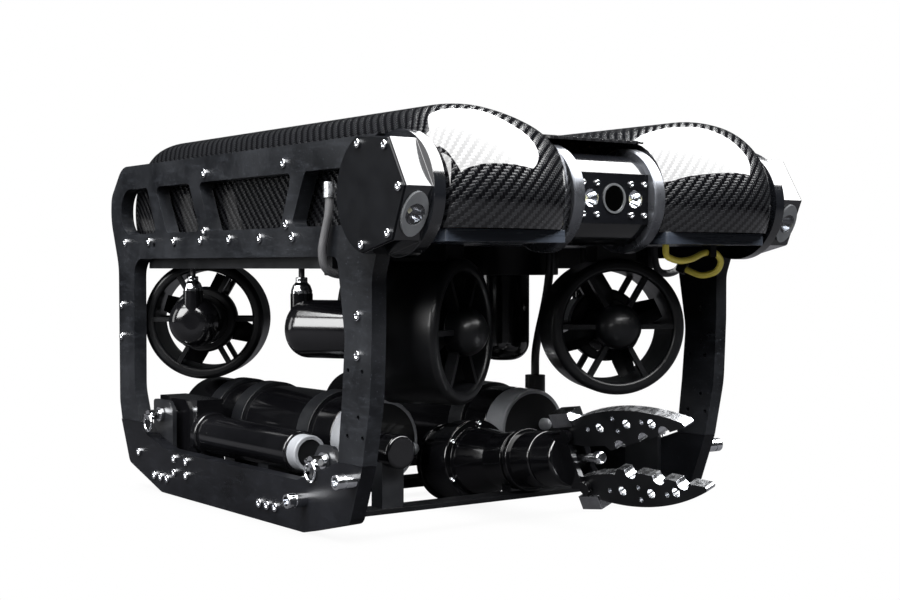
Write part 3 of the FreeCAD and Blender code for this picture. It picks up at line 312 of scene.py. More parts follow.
class Shader:
    """A principled material under construction, with short calls for the nodes that feed it."""

    def __init__(self, name: str) -> None:
        """Starts an empty material of that name."""
        self.material = bpy.data.materials.new(name)
        self.material.use_nodes = True
        self.tree = self.material.node_tree
        self.surface = self.tree.nodes["Principled BSDF"]
        self.place = self.tree.nodes.new("ShaderNodeTexCoord").outputs["Object"]

    def put(self, socket: str, value: object) -> None:
        """Sets or links one of the surface's sockets."""
        self.feed(self.surface.inputs[socket], value)

    def feed(self, target: bpy.types.NodeSocket, value: object) -> None:
        """Links a socket or sets its value.

        Args:
            target: The input that is fed.
            value: Another node's output, a number, or a colour.
        """
        if isinstance(value, bpy.types.NodeSocket):
            self.tree.links.new(value, target)
        elif isinstance(value, tuple) and target.type == "RGBA":
            target.default_value = (*value, 1.0)
        else:
            target.default_value = value

    def math(self, operation: str, first: object, second: object = 0.0) -> bpy.types.NodeSocket:
        """One arithmetic node.

        Args:
            operation: What it works out.
            first: Its first value.
            second: Its second value, where it takes one.

        Returns:
            The result.
        """
        node = self.tree.nodes.new("ShaderNodeMath")
        node.operation = operation
        self.feed(node.inputs[0], first)
        self.feed(node.inputs[1], second)
        return node.outputs[0]

    def spread(self, value: object, low: float, high: float, start: float = 0.0,
               end: float = 1.0) -> bpy.types.NodeSocket:
        """Maps start..end to low..high, held at both ends.

        Args:
            value: The value that is mapped.
            low: Result at the start.
            high: Result at the end.
            start: Value that gives low.
            end: Value that gives high.

        Returns:
            The mapped value.
        """
        node = self.tree.nodes.new("ShaderNodeMapRange")
        for target, number in zip(node.inputs, (value, start, end, low, high)):
            self.feed(target, number)
        return node.outputs[0]

    def noise(self, scale: float, detail: float = 3.0, roughness: float = 0.5,
              stretch: Colour = (1.0, 1.0, 1.0)) -> bpy.types.NodeSocket:
        """Cloud pattern fixed to the piece.

        Args:
            scale: Features per metre.
            detail: Number of finer layers.
            roughness: Share of the finer layers.
            stretch: Scale of each axis.

        Returns:
            The pattern, from 0 to 1.
        """
        mapping = self.tree.nodes.new("ShaderNodeMapping")
        mapping.inputs["Scale"].default_value = stretch
        self.feed(mapping.inputs["Vector"], self.place)
        node = self.tree.nodes.new("ShaderNodeTexNoise")
        self.feed(node.inputs["Vector"], mapping.outputs[0])
        node.inputs["Scale"].default_value = scale
        node.inputs["Detail"].default_value = detail
        node.inputs["Roughness"].default_value = roughness
        return node.outputs[0]

    def sheet(self) -> tuple[bpy.types.NodeSocket, bpy.types.NodeSocket]:
        """The piece's own surface coordinates, in metres.

        Returns:
            The coordinate along the piece and the one across it.
        """
        sheet = self.tree.nodes.new("ShaderNodeUVMap")
        sheet.uv_map = "weave"
        split = self.tree.nodes.new("ShaderNodeSeparateXYZ")
        self.feed(split.inputs[0], sheet.outputs[0])
        return split.outputs[0], split.outputs[1]

    def blend(self, share: object, first: object, second: object) -> bpy.types.NodeSocket:
        """Mixes two colours.

        Args:
            share: Share of the second colour.
            first: The colour at share 0.
            second: The colour at share 1.

        Returns:
            The mixed colour.
        """
        node = self.tree.nodes.new("ShaderNodeMix")
        node.data_type = "RGBA"
        self.feed(node.inputs["Factor"], share)
        self.feed(node.inputs[6], first)
        self.feed(node.inputs[7], second)
        return node.outputs[2]

    def relief(self, height: object, strength: float, depth: float) -> None:
        """Bumps the surface.

        Args:
            height: Height pattern from 0 to 1.
            strength: How strongly it shows.
            depth: Its depth in metres.
        """
        node = self.tree.nodes.new("ShaderNodeBump")
        node.inputs["Strength"].default_value = strength
        node.inputs["Distance"].default_value = depth
        self.feed(node.inputs["Height"], height)
        self.feed(self.surface.inputs["Normal"], node.outputs[0])


@dataclass(frozen=True)
class Finish:
    """A surface with a faint cloudy change of colour and gloss, and a fine grain."""

    name: str
    dark: Colour
    light: Colour
    rough: tuple[float, float] = (0.3, 0.4)
    metallic: float = 0.0
    coat: float = 0.0
    shine: float = 0.5
    cloud: float = 18.0
    grain: float = 1400.0
    grain_depth: float = 0.00002
    stretch: Colour = (1.0, 1.0, 1.0)

    def make(self) -> bpy.types.Material:
        """Builds the material: the cloud sets the share of the light colour and of the higher roughness.

        Returns:
            The material.
        """
        shader = Shader(self.name)
        cloud = shader.spread(shader.noise(self.cloud, 6.0, 0.62, self.stretch), 0.0, 1.0, 0.32, 0.68)
        shader.put("Base Color", shader.blend(cloud, self.dark, self.light))
        shader.put("Roughness", shader.spread(cloud, self.rough[0], self.rough[1]))
        shader.put("Metallic", self.metallic)
        shader.put("Coat Weight", self.coat)
        shader.put("Coat Roughness", 0.04)
        shader.put("Specular IOR Level", self.shine)
        shader.relief(shader.noise(self.grain, 2.0, 0.5, self.stretch), 0.35, self.grain_depth)
        self.extras(shader)
        return shader.material

    def extras(self, shader: Shader) -> None:
        """Further nodes of a special finish; none here."""


@dataclass(frozen=True)
class PlateFinish(Finish):
    """Satin sheet with handling marks: cloudy gloss, fine specks and faint scratches along the sheet."""

    def extras(self, shader: Shader) -> None:
        """Adds specks and scuffs to the colour.

        Args:
            shader: The material under construction.
        """
        specks = shader.spread(shader.noise(520.0, 2.0, 0.6), 0.0, 1.0, 0.67, 0.74)
        scuffs = shader.spread(shader.noise(60.0, 8.0, 0.75, (0.5, 1.0, 2.2)), 0.0, 0.6, 0.52, 0.75)
        base = shader.surface.inputs["Base Color"].links[0].from_socket
        worn = shader.blend(scuffs, base, tuple(2.2 * v for v in self.light))
        shader.put("Base Color", shader.blend(specks, worn, tuple(4.0 * v for v in self.light)))


@dataclass(frozen=True)
class TwillFinish:
    """Two-by-two twill laminate under clear lacquer, following the piece's own surface coordinates. The warp
    is coloured lighter than the weft as a painted sheen, and the colour darkens where the weave is low as
    painted shade.
    """

    name: str
    tow: float = 0.0028
    # The warp colour is lighter than the weft colour: a painted sheen, standing in for how the fibres reflect
    # light.
    warp: Colour = (0.0042, 0.0045, 0.0052)
    weft: Colour = (0.0005, 0.0005, 0.0007)
    # Painted shade: the colour that the tows darken towards where the weave is low.
    resin: Colour = (0.003, 0.003, 0.0035)
    coat: float = 1.0

    def make(self) -> bpy.types.Material:
        """Builds the material.

        A cell (i, j) shows the warp where (i - j) mod 4 is under 2. Its height is the tow's bulge across
        times the rise and fall of its float along.

        Returns:
            The material.
        """
        shader = Shader(self.name)
        along, across = shader.sheet()
        s = shader.math("DIVIDE", along, self.tow)
        t = shader.math("DIVIDE", across, self.tow)
        cell_s = shader.math("FLOOR", s)
        cell_t = shader.math("FLOOR", t)
        turn = shader.math("FLOORED_MODULO", shader.math("SUBTRACT", cell_s, cell_t), 4.0)
        shows_warp = shader.math("LESS_THAN", turn, 1.5)
        warp = self.tow_height(shader, s, cell_s, shader.math("SUBTRACT", cell_s, t), -1.0)
        weft = self.tow_height(shader, t, cell_t, shader.math("SUBTRACT", s, cell_t), 2.0)
        height = shader.math("ADD", shader.math("MULTIPLY", shows_warp, warp),
                             shader.math("MULTIPLY", shader.math("SUBTRACT", 1.0, shows_warp), weft))
        fibres = shader.noise(5200.0, 2.0, 0.5)
        # Painted sheen: warp cells take the lighter colour, weft cells the darker one.
        painted_sheen_tone = shader.blend(shows_warp, self.weft, self.warp)
        # Painted shade: the colour darkens with the weave's height, towards the tows' edges and the dips
        # between them.
        share = shader.math("MULTIPLY", shader.spread(height, 0.25, 1.0), shader.spread(fibres, 0.75, 1.2))
        shader.put("Base Color", shader.blend(share, self.resin, painted_sheen_tone))
        shader.put("Roughness", shader.spread(height, 0.36, 0.24))
        shader.put("Coat Weight", self.coat)
        shader.put("Coat Roughness", 0.02)
        shader.put("Specular IOR Level", shader.spread(shows_warp, 0.0, 0.22))
        shader.relief(height, 0.8, 0.0003)
        return shader.material

    def tow_height(self, shader: Shader, across: object, cell: object, along: object,
                   start: float) -> bpy.types.NodeSocket:
        """Height of a tow: (1 - 3.4 f^2) times the sine of a quarter turn per cell along the float.

        Args:
            shader: The material under construction.
            across: Place across the tow, in tows, f being its offset from the tow's middle.
            cell: Number of the tow.
            along: Place along the tow, in tows.
            start: Cell in which the float starts.

        Returns:
            The height.
        """
        offset = shader.math("SUBTRACT", shader.math("SUBTRACT", across, cell), 0.5)
        bulge = shader.math("SUBTRACT", 1.0, shader.math("MULTIPLY", shader.math("POWER", offset, 2.0), 3.4))
        place = shader.math("SUBTRACT", shader.math("FLOORED_MODULO", along, 4.0), start)
        arch = shader.math("SINE", shader.math("MULTIPLY", place, math.pi / 2))
        return shader.math("MULTIPLY", bulge, shader.spread(arch, 0.45, 1.0))


@dataclass(frozen=True)
class SleeveFinish:
    """Braided sleeve over a hose, following the tube's own surface coordinates. Its strand crowns are
    coloured lighter as a painted highlight, and the gaps between strands darker as painted shade.
    """

    name: str
    dark: Colour = (0.004, 0.004, 0.0045)
    light: Colour = (0.06, 0.06, 0.063)
    strand: float = 0.0011

    def make(self) -> bpy.types.Material:
        """Builds the material: strands are the peaks of |sin| of the coordinates' sum and difference.

        Returns:
            The material.
        """
        shader = Shader(self.name)
        along, across = shader.sheet()
        turn = math.pi / (2 * self.strand)
        run = shader.math("MULTIPLY", along, turn)
        around = shader.math("MULTIPLY", across, turn)
        one = shader.math("ABSOLUTE", shader.math("SINE", shader.math("ADD", run, around)))
        other = shader.math("ABSOLUTE", shader.math("SINE", shader.math("SUBTRACT", run, around)))
        height = shader.math("MAXIMUM", one, other)
        # Painted highlight and painted shade: the colour runs from the dark colour between strands to the
        # light colour on their crowns.
        shader.put("Base Color", shader.blend(shader.math("POWER", height, 3.0), self.dark, self.light))
        shader.put("Roughness", shader.spread(height, 0.6, 0.4))
        shader.relief(height, 0.8, 0.0004)
        return shader.material


@dataclass(frozen=True)
class PortFinish:
    """Clear polished glass."""

    name: str
    tint: Colour = (0.95, 0.97, 1.0)

    def make(self) -> bpy.types.Material:
        """Builds the material: clear and nearly smooth, with faint wipe marks in its gloss.

        Returns:
            The material.
        """
        shader = Shader(self.name)
        shader.put("Base Color", self.tint)
        shader.put("Transmission Weight", 1.0)
        shader.put("IOR", 1.45)
        shader.put("Roughness", shader.spread(shader.noise(90.0), 0.0, 0.04, 0.3, 0.8))
        return shader.material


class Look(Enum):
    """Every finish of the vehicle."""

    CARBON_TWILL = TwillFinish("carbon_twill")
    SIDE_PLATE = PlateFinish("side_plate_sheet", (0.0018, 0.002, 0.0025), (0.0085, 0.0093, 0.011),
                             (0.26, 0.5), cloud=13.0, shine=0.15)
    SKID_PLATE = PlateFinish("skid_plate_sheet", (0.0012, 0.0013, 0.0017), (0.004, 0.0043, 0.0055),
                             (0.26, 0.42), cloud=11.0, shine=0.13)
    DECK = Finish("deck_anodised", (0.014, 0.017, 0.023), (0.026, 0.031, 0.040), (0.22, 0.32),
                  cloud=40.0, stretch=(1.0, 0.2, 3.0))
    POD = Finish("pod_anodised", (0.002, 0.0022, 0.0028), (0.004, 0.0044, 0.0055), (0.12, 0.2),
                 coat=0.5, shine=0.4)
    POD_COVER = Finish("cover_anodised", (0.0012, 0.0013, 0.0017), (0.003, 0.0033, 0.004), (0.3, 0.42),
                       cloud=30.0, shine=0.07)
    HOUSING = Finish("housing_anodised", (0.0015, 0.0016, 0.002), (0.003, 0.0032, 0.004), (0.1, 0.16),
                     grain_depth=0.000008)
    FLANGE = Finish("flange_anodised", (0.06, 0.063, 0.071), (0.09, 0.094, 0.104), (0.24, 0.32),
                    metallic=0.8, cloud=60.0)
    MOULDING_GLOSS = Finish("moulding_gloss", (0.0012, 0.0012, 0.0015), (0.0025, 0.0025, 0.003),
                            (0.1, 0.16), shine=0.6)
    MOULDING_SATIN = Finish("moulding_satin", (0.0012, 0.0013, 0.0016), (0.003, 0.0032, 0.0038),
                            (0.32, 0.42), cloud=26.0, shine=0.22, coat=0.08)
    CLAMP = Finish("clamp_anodised", (0.003, 0.0033, 0.004), (0.008, 0.0086, 0.010), (0.3, 0.42),
                   cloud=50.0, shine=0.35)
    POLISHED_STEEL = Finish("polished_steel", (0.62, 0.63, 0.65), (0.82, 0.83, 0.85), (0.08, 0.2),
                            metallic=1.0, cloud=120.0)
    BRUSHED_STEEL = Finish("brushed_steel", (0.45, 0.46, 0.48), (0.6, 0.61, 0.63), (0.22, 0.34),
                           metallic=1.0, cloud=200.0)
    BEZEL = Finish("bezel_smoke", (0.10, 0.105, 0.11), (0.14, 0.145, 0.15), (0.18, 0.26),
                   metallic=0.6, cloud=60.0)
    CAP = Finish("cap_plastic", (0.13, 0.135, 0.145), (0.18, 0.186, 0.198), (0.42, 0.52), cloud=40.0)
    FOAM = Finish("foam_core", (0.45, 0.22, 0.05), (0.6, 0.33, 0.1), (0.7, 0.85), grain=500.0,
                  grain_depth=0.0004)
    YELLOW_JACKET = Finish("yellow_jacket", (0.86, 0.70, 0.08), (0.94, 0.80, 0.14), (0.3, 0.4), cloud=60.0)
    # A pale metal for the jaws' edges and hole walls, as a painted highlight.
    MACHINED_EDGE = Finish("machined_edge", (0.42, 0.43, 0.45), (0.62, 0.63, 0.65), (0.2, 0.34),
                           metallic=1.0, cloud=150.0)
    BLACK_JACKET = Finish("black_jacket", (0.006, 0.006, 0.007), (0.014, 0.014, 0.016), (0.38, 0.5),
                          cloud=60.0)
    LAMP_MIRROR = Finish("lamp_mirror", (0.8, 0.8, 0.8), (0.92, 0.92, 0.92), (0.03, 0.1), metallic=1.0,
                         cloud=200.0)
    LAMP_SMOKE = Finish("lamp_smoke", (0.05, 0.052, 0.056), (0.1, 0.104, 0.11), (0.1, 0.2), metallic=1.0,
                        cloud=140.0)
    LAMP_CHIP = Finish("lamp_chip", (0.8, 0.74, 0.45), (0.9, 0.85, 0.6), (0.3, 0.4), cloud=500.0)
    LENS_COATED = Finish("lens_coated", (0.01, 0.008, 0.02), (0.02, 0.012, 0.03), (0.02, 0.05), coat=1.0)
    LENS_BLACK = Finish("lens_black", (0.001, 0.001, 0.0012), (0.003, 0.003, 0.004), (0.05, 0.1), coat=1.0)
    BRAIDED_SLEEVE = SleeveFinish("braided_sleeve")
    CLEAR_PORT = PortFinish("clear_port")


class Finishes:
    """The materials of all finishes, made once and handed out by name."""

    def __init__(self) -> None:
        """Makes every finish's material."""
        self.made = {look: look.value.make() for look in Look}

    def __getitem__(self, look: Look) -> bpy.types.Material:
        """The material of that finish."""
        return self.made[look]

    def on(self, piece: bpy.types.Object, look: Look) -> None:
        """Gives a piece its finish in every material slot.

        Args:
            piece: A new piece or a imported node.
            look: The finish.
        """
        if not piece.material_slots:
            piece.data.materials.append(self[look])
        for holder in piece.material_slots:
            holder.material = self[look]


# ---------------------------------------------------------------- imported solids

@dataclass(frozen=True)
class Well:
    """A round recess: the middle of its mouth, the way it goes in, its radius and its depth."""

    mouth: Vector
    way: Vector
    radius: float
    depth: float

    def cutter(self) -> bpy.types.Object:
        """The solid that is taken out, standing proud of the mouth."""
        proud = -4 * MM
        return lathe("cutter", [(proud, 0), (proud, self.radius), (self.depth, self.radius), (self.depth, 0)],
                     self.mouth, self.way, 48)


@dataclass
class Stock:
    """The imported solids: dresses them as they are, or stands in a copy with softened edges.

    Faces that meet under flat_angle degrees are merged, and edges over sharp_angle degrees are rounded.
    """

    finishes: Finishes
    flat_angle: float = 0.3
    sharp_angle: float = 32.0
    body_of: dict[str, str] = field(default_factory=dict)

    def __post_init__(self) -> None:
        """Notes which body each node rides on."""
        for body, nodes in frame["record"]["behaviour"]["bodies"].items():
            for node in nodes:
                self.body_of[node] = body

    def dress(self, node: str, look: Look) -> None:
        """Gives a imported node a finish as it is."""
        self.finishes.on(frame["nodes"][node], look)
        LOG.info("dressed %s in %s", node, look.value.name)

    def soften(self, node: str, look: Look, width: float, wells: tuple[Well, ...] = ()) -> bpy.types.Object:
        """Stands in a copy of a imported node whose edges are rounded.

        Args:
            node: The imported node.
            look: Its finish.
            width: Width of the rounding in metres.
            wells: Round recesses to sink.

        Returns:
            The copy, riding on the node's body.
        """
        mesh = frame["nodes"][node].data.copy()
        mesh.name = node + "_soft"
        piece = placed(node + "_soft", mesh)
        work = bmesh.new()
        work.from_mesh(mesh)
        bmesh.ops.remove_doubles(work, verts=work.verts, dist=2e-6)
        bmesh.ops.dissolve_limit(work, angle_limit=math.radians(self.flat_angle), verts=work.verts,
                                 edges=work.edges)
        work.edges.ensure_lookup_table()
        limit = math.radians(self.sharp_angle)
        edges = [edge for edge in work.edges if len(edge.link_faces) == 2 and edge.calc_face_angle() > limit]
        bmesh.ops.bevel(work, geom=edges, offset=width, offset_type="OFFSET", segments=2, profile=0.5,
                        affect="EDGES", clamp_overlap=True)
        bmesh.ops.dissolve_degenerate(work, edges=work.edges, dist=SAME_POINT)
        work.to_mesh(mesh)
        work.free()
        if "custom_normal" in mesh.attributes:
            mesh.attributes.remove(mesh.attributes["custom_normal"])
        mesh.materials.clear()
        if wells:
            carve(piece, [well.cutter() for well in wells])
        self.finishes.on(piece, look)
        shade(piece, 34.0, weighted=True)
        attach(piece, self.body_of[node])
        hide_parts(node)
        report(piece)
        return piece


# ---------------------------------------------------------------- studio

@dataclass(frozen=True)
class SoftBox:
    """A soft box: where it stands, the point it faces, its width and height in metres, and its watts."""

    name: str
    place: Colour
    aim: Colour
    size: tuple[float, float]
    power: float

    def build(self) -> None:
        """Stands the soft box in the scene."""
        data = bpy.data.lights.new(self.name, "AREA")
        data.shape = "RECTANGLE"
        data.size, data.size_y = self.size
        data.energy = self.power
        holder = placed(self.name, data)
        holder.location = self.place
        way = Vector(self.aim) - Vector(self.place)
        holder.rotation_euler = way.to_track_quat("-Z", "Y").to_euler()


@dataclass
class Studio:
    """Camera, soft boxes, pale floor and surroundings."""

    BOXES = (
        SoftBox("key", (0.5, 0.1, 2.0), (0.1, 0.0, 0.3), (4.4, 3.3), 860.0),
        SoftBox("side", (0.3, -2.4, 1.2), (0.0, -0.2, 0.2), (1.7, 1.3), 105.0),
        SoftBox("starboard", (-1.7, -2.4, 0.9), (0.0, -0.2, 0.2), (0.8, 1.6), 16.0),
    )

    eye: Vector = field(default_factory=lambda: AXIS + Vector((1.0513, -0.9193, -0.0633)))
    tilt: tuple[float, float, float] = (88.74, 0.0, 54.07)
    lens: float = 59.2
    floor_half: float = 30.0
    contact_reach: float = 0.05

    def build(self) -> None:
        """Sets up the whole studio."""
        self.camera()
        self.surroundings()
        self.floor()
        for box in self.BOXES:
            box.build()

    def camera(self) -> None:
        """The view from low on the starboard bow."""
        data = bpy.data.cameras.new("camera")
        data.lens = self.lens
        data.sensor_width = 36.0
        holder = placed("camera", data)
        holder.location = self.eye
        holder.rotation_euler = tuple(math.radians(v) for v in self.tilt)
        bpy.context.scene.camera = holder

    def surroundings(self) -> None:
        """White behind the object, and a dim room in its reflections."""
        world = bpy.data.worlds.new("studio")
        bpy.context.scene.world = world
        world.use_nodes = True
        tree = world.node_tree
        tree.nodes.clear()
        out = tree.nodes.new("ShaderNodeOutputWorld")
        mix = tree.nodes.new("ShaderNodeMixShader")
        rays = tree.nodes.new("ShaderNodeLightPath")
        room = tree.nodes.new("ShaderNodeBackground")
        room.inputs[0].default_value = (0.9, 0.95, 1.0, 1.0)
        room.inputs[1].default_value = 0.03
        white = tree.nodes.new("ShaderNodeBackground")
        white.inputs[0].default_value = (1.0, 1.0, 1.0, 1.0)
        white.inputs[1].default_value = 1.0
        tree.links.new(rays.outputs["Is Camera Ray"], mix.inputs[0])
        tree.links.new(room.outputs[0], mix.inputs[1])
        tree.links.new(white.outputs[0], mix.inputs[2])
        tree.links.new(mix.outputs[0], out.inputs[0])
        scene = bpy.context.scene
        scene.view_settings.view_transform = "Standard"
        scene.view_settings.look = "None"

    def floor(self) -> None:
        """A wide pale floor with a faint contact shadow, which stays dim in reflections."""
        half = self.floor_half
        mesh = bpy.data.meshes.new("floor")
        mesh.from_pydata([(-half, -half, 0), (half, -half, 0), (half, half, 0), (-half, half, 0)], [],
                         [(0, 1, 2, 3)])
        floor = placed("floor", mesh)
        floor.location.z = -0.0005
        shader = Shader("pale_floor")
        tree = shader.tree
        near = tree.nodes.new("ShaderNodeAmbientOcclusion")
        near.inputs["Distance"].default_value = self.contact_reach
        near.samples = 8
        glow = tree.nodes.new("ShaderNodeEmission")
        shader.feed(glow.inputs[1], shader.spread(near.outputs["AO"], 0.92, 1.0, 0.2, 0.7))
        dim = tree.nodes.new("ShaderNodeBsdfDiffuse")
        dim.inputs[0].default_value = (0.03, 0.03, 0.032, 1.0)
        mix = tree.nodes.new("ShaderNodeMixShader")
        rays = tree.nodes.new("ShaderNodeLightPath")
        tree.links.new(rays.outputs["Is Camera Ray"], mix.inputs[0])
        tree.links.new(dim.outputs[0], mix.inputs[1])
        tree.links.new(glow.outputs[0], mix.inputs[2])
        tree.links.new(mix.outputs[0], tree.nodes["Material Output"].inputs[0])
        mesh.materials.append(shader.material)


# ---------------------------------------------------------------- floats

@dataclass
class Floats:
    """Carbon shells of the two floats and the cover between them, as swept surfaces.

    The crown holds (sideways place, height above the tilt axis) of one float's section in millimetres.
    """

    finishes: Finishes
    crown: tuple[tuple[float, float], ...] = (
        (58, 58.5), (73, 67), (90, 73), (113, 78.5), (137, 81.5), (155, 81), (175, 77.5), (190, 70),
        (200.5, 57))
    cover_rise: float = 58.5
    cover_half: float = 57.7
    rear_reach: float = 510.0
    nose_reach: float = 12.0
    hood_turn: float = 17.0
    laminate: float = 2.2
    hole_gap: float = 0.3
    wall_steps: int = 12
    turn_steps: int = 36
    run_steps: int = 44

    def __post_init__(self) -> None:
        """Reads the tilt axis, the deck's top and the vertical ducts from the frame."""
        self.axis_x = AXIS.x
        self.axis_z = AXIS.z
        self.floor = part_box("deck_plate")[1].z
        low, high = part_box("duct_lift_port")
        self.duct = Vector(((low.x + high.x) / 2, (low.y + high.y) / 2, 0))
        self.duct_radius = (high.x - low.x) / 2 + self.hole_gap * MM

    def sweep(self, across: np.ndarray, rise: np.ndarray, nose_x: float,
              nose_turn: float | None) -> tuple[np.ndarray, np.ndarray]:
        """Carries a cross section from the rear deck edge over the top to the front.

        At turn a about an end's axis a point lies at axis + rise * (sin a, cos a). Between the two axes it
        runs straight. The end turn is pi/2 + asin(drop / rise), where the surface meets the deck.

        Args:
            across: Sideways places of the section's points.
            rise: Their heights above the axis.
            nose_x: Where the front turn's axis lies.
            nose_turn: Turn at which the front stops, or None to go down to the deck.

        Returns:
            The points (stations, section, 3) and the length run at each.
        """
        drop = self.axis_z - self.floor
        down = math.pi / 2 + np.arcsin(np.minimum(drop / rise, 1.0))
        front = down if nose_turn is None else np.full_like(rise, nose_turn)
        share = np.linspace(0, 1, self.turn_steps)[:, None]
        tail_turn = (share - 1) * down
        nose = share * front
        rear_x = self.axis_x - self.rear_reach * MM
        straight = np.linspace(rear_x, nose_x, self.run_steps)[1:-1, None] + 0 * rise
        x = np.concatenate([rear_x + rise * np.sin(tail_turn), straight, nose_x + rise * np.sin(nose)])
        z = self.axis_z + np.concatenate([rise * np.cos(tail_turn), 0 * straight + rise, rise * np.cos(nose)])
        y = np.broadcast_to(across, x.shape)
        points = np.stack([x, y, z], axis=-1)
        middle = points[:, len(rise) // 2]
        run = np.concatenate([[0], np.cumsum(np.linalg.norm(np.diff(middle, axis=0), axis=1))])
        return points, run

    def section(self, count: int = 40) -> tuple[np.ndarray, np.ndarray]:
        """The crown as cubic pieces through its points, each with the slope of its neighbours.

        Args:
            count: Number of points, evenly spaced along the curve's chords.

        Returns:
            Their sideways places and their heights above the axis, in metres.
        """
        y, rise = np.array(self.crown, float).T * MM
        knots = np.concatenate([[0], np.cumsum(np.hypot(np.diff(y), np.diff(rise)))])
        slope_y = np.gradient(y, knots)
        slope_z = np.gradient(rise, knots)
        at = np.linspace(0, knots[-1], count)
        k = np.clip(np.searchsorted(knots, at, side="right") - 1, 0, len(knots) - 2)
        width = knots[k + 1] - knots[k]
        u = (at - knots[k]) / width
        h00, h10 = 2 * u**3 - 3 * u**2 + 1, u**3 - 2 * u**2 + u
        h01, h11 = -2 * u**3 + 3 * u**2, u**3 - u**2

        def hermite(value: np.ndarray, slope: np.ndarray) -> np.ndarray:
            """Cubic through value with slope at each knot."""
            return h00 * value[k] + h10 * width * slope[k] + h01 * value[k + 1] + h11 * width * slope[k + 1]

        return hermite(y, slope_y), hermite(rise, slope_z)

    def shell(self, side: Side) -> bpy.types.Object:
        """One float's shell: the crown, with both side walls running straight down to the deck.

        Args:
            side: Which float.

        Returns:
            The finished shell with its weave and the hole for the vertical duct.
        """
        across, rise = self.section()
        points, run = self.sweep(across, rise, self.axis_x - self.nose_reach * MM, None)
        fall = np.linspace(1, 0, self.wall_steps, endpoint=False)[::-1][None, :, None]
        walls = []
        for edge in (0, -1):
            rim = points[:, edge]
            foot = rim.copy()
            foot[:, 0] = np.clip(rim[:, 0], rim[0, 0], rim[-1, 0])
            foot[:, 2] = self.floor
            walls.append(rim[:, None] * (1 - fall) + foot[:, None] * fall)
        grid = np.concatenate([walls[0][:, ::-1], points, walls[1]], axis=1)
        step = np.linalg.norm(np.diff(grid[len(grid) // 2], axis=0), axis=1)
        sideways = np.concatenate([[0], np.cumsum(step)])
        uv = np.stack(np.meshgrid(run, sideways * -side.value, indexing="ij"), axis=-1)
        grid = grid * np.array([1, side.value, 1])
        return self.trimmed(grid_piece(f"float_skin_{side.word}", grid, uv=uv), (side,))

    def trimmed(self, piece: bpy.types.Object, sides: tuple[Side, ...]) -> bpy.types.Object:
        """Gives a skin the laminate's thickness and the holes of the vertical ducts, and finishes it.

        Args:
            piece: The skin as a single surface.
            sides: On which sides a duct passes through it.

        Returns:
            The same piece.
        """
        wall = piece.modifiers.new("laminate", "SOLIDIFY")
        wall.thickness = self.laminate * MM
        wall.offset = -1.0
        radius = self.duct_radius
        foot, height = 0.2, 0.3
        profile = [(0, 0), (0, radius), (height, radius), (height, 0)]
        carve(piece, [lathe("cutter", profile, Vector((self.duct.x, side.value * abs(self.duct.y), foot)),
                            Vector((0, 0, 1)), 96) for side in sides])
        shade(piece, 38.0)
        self.finishes.on(piece, Look.CARBON_TWILL)
        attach(piece, "frame")
        return piece

    def cover(self) -> bpy.types.Object:
        """The flat cover between the floats, rounded down at the rear and hooded over the camera.

        Returns:
            The finished cover.
        """
        across = np.linspace(-self.cover_half, self.cover_half, 24) * MM
        rise = np.full_like(across, self.cover_rise * MM)
        points, run = self.sweep(across, rise, self.axis_x, math.radians(self.hood_turn))
        uv = np.stack(np.meshgrid(run, across, indexing="ij"), axis=-1)
        return self.trimmed(grid_piece("centre_skin", points, uv=uv), tuple(Side))

    def build(self) -> None:
        """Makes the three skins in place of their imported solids."""
        for side in Side:
            piece = self.shell(side)
            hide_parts(f"float_shell_{side.word}")
            report(piece)
        piece = self.cover()
        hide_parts("centre_cover")
        report(piece)


# ---------------------------------------------------------------- optics

@dataclass(frozen=True)
class Lamp:
    """A lamp: its mouth, the way it faces, and its reflector's radius and depth."""

    name: str
    mouth: Vector
    way: Vector
    radius: float
    depth: float
    look: Look

    def well(self) -> Well:
        """The recess it needs in its housing."""
        return Well(self.mouth, -self.way, self.radius + 0.1 * MM, self.depth + 0.3 * MM)


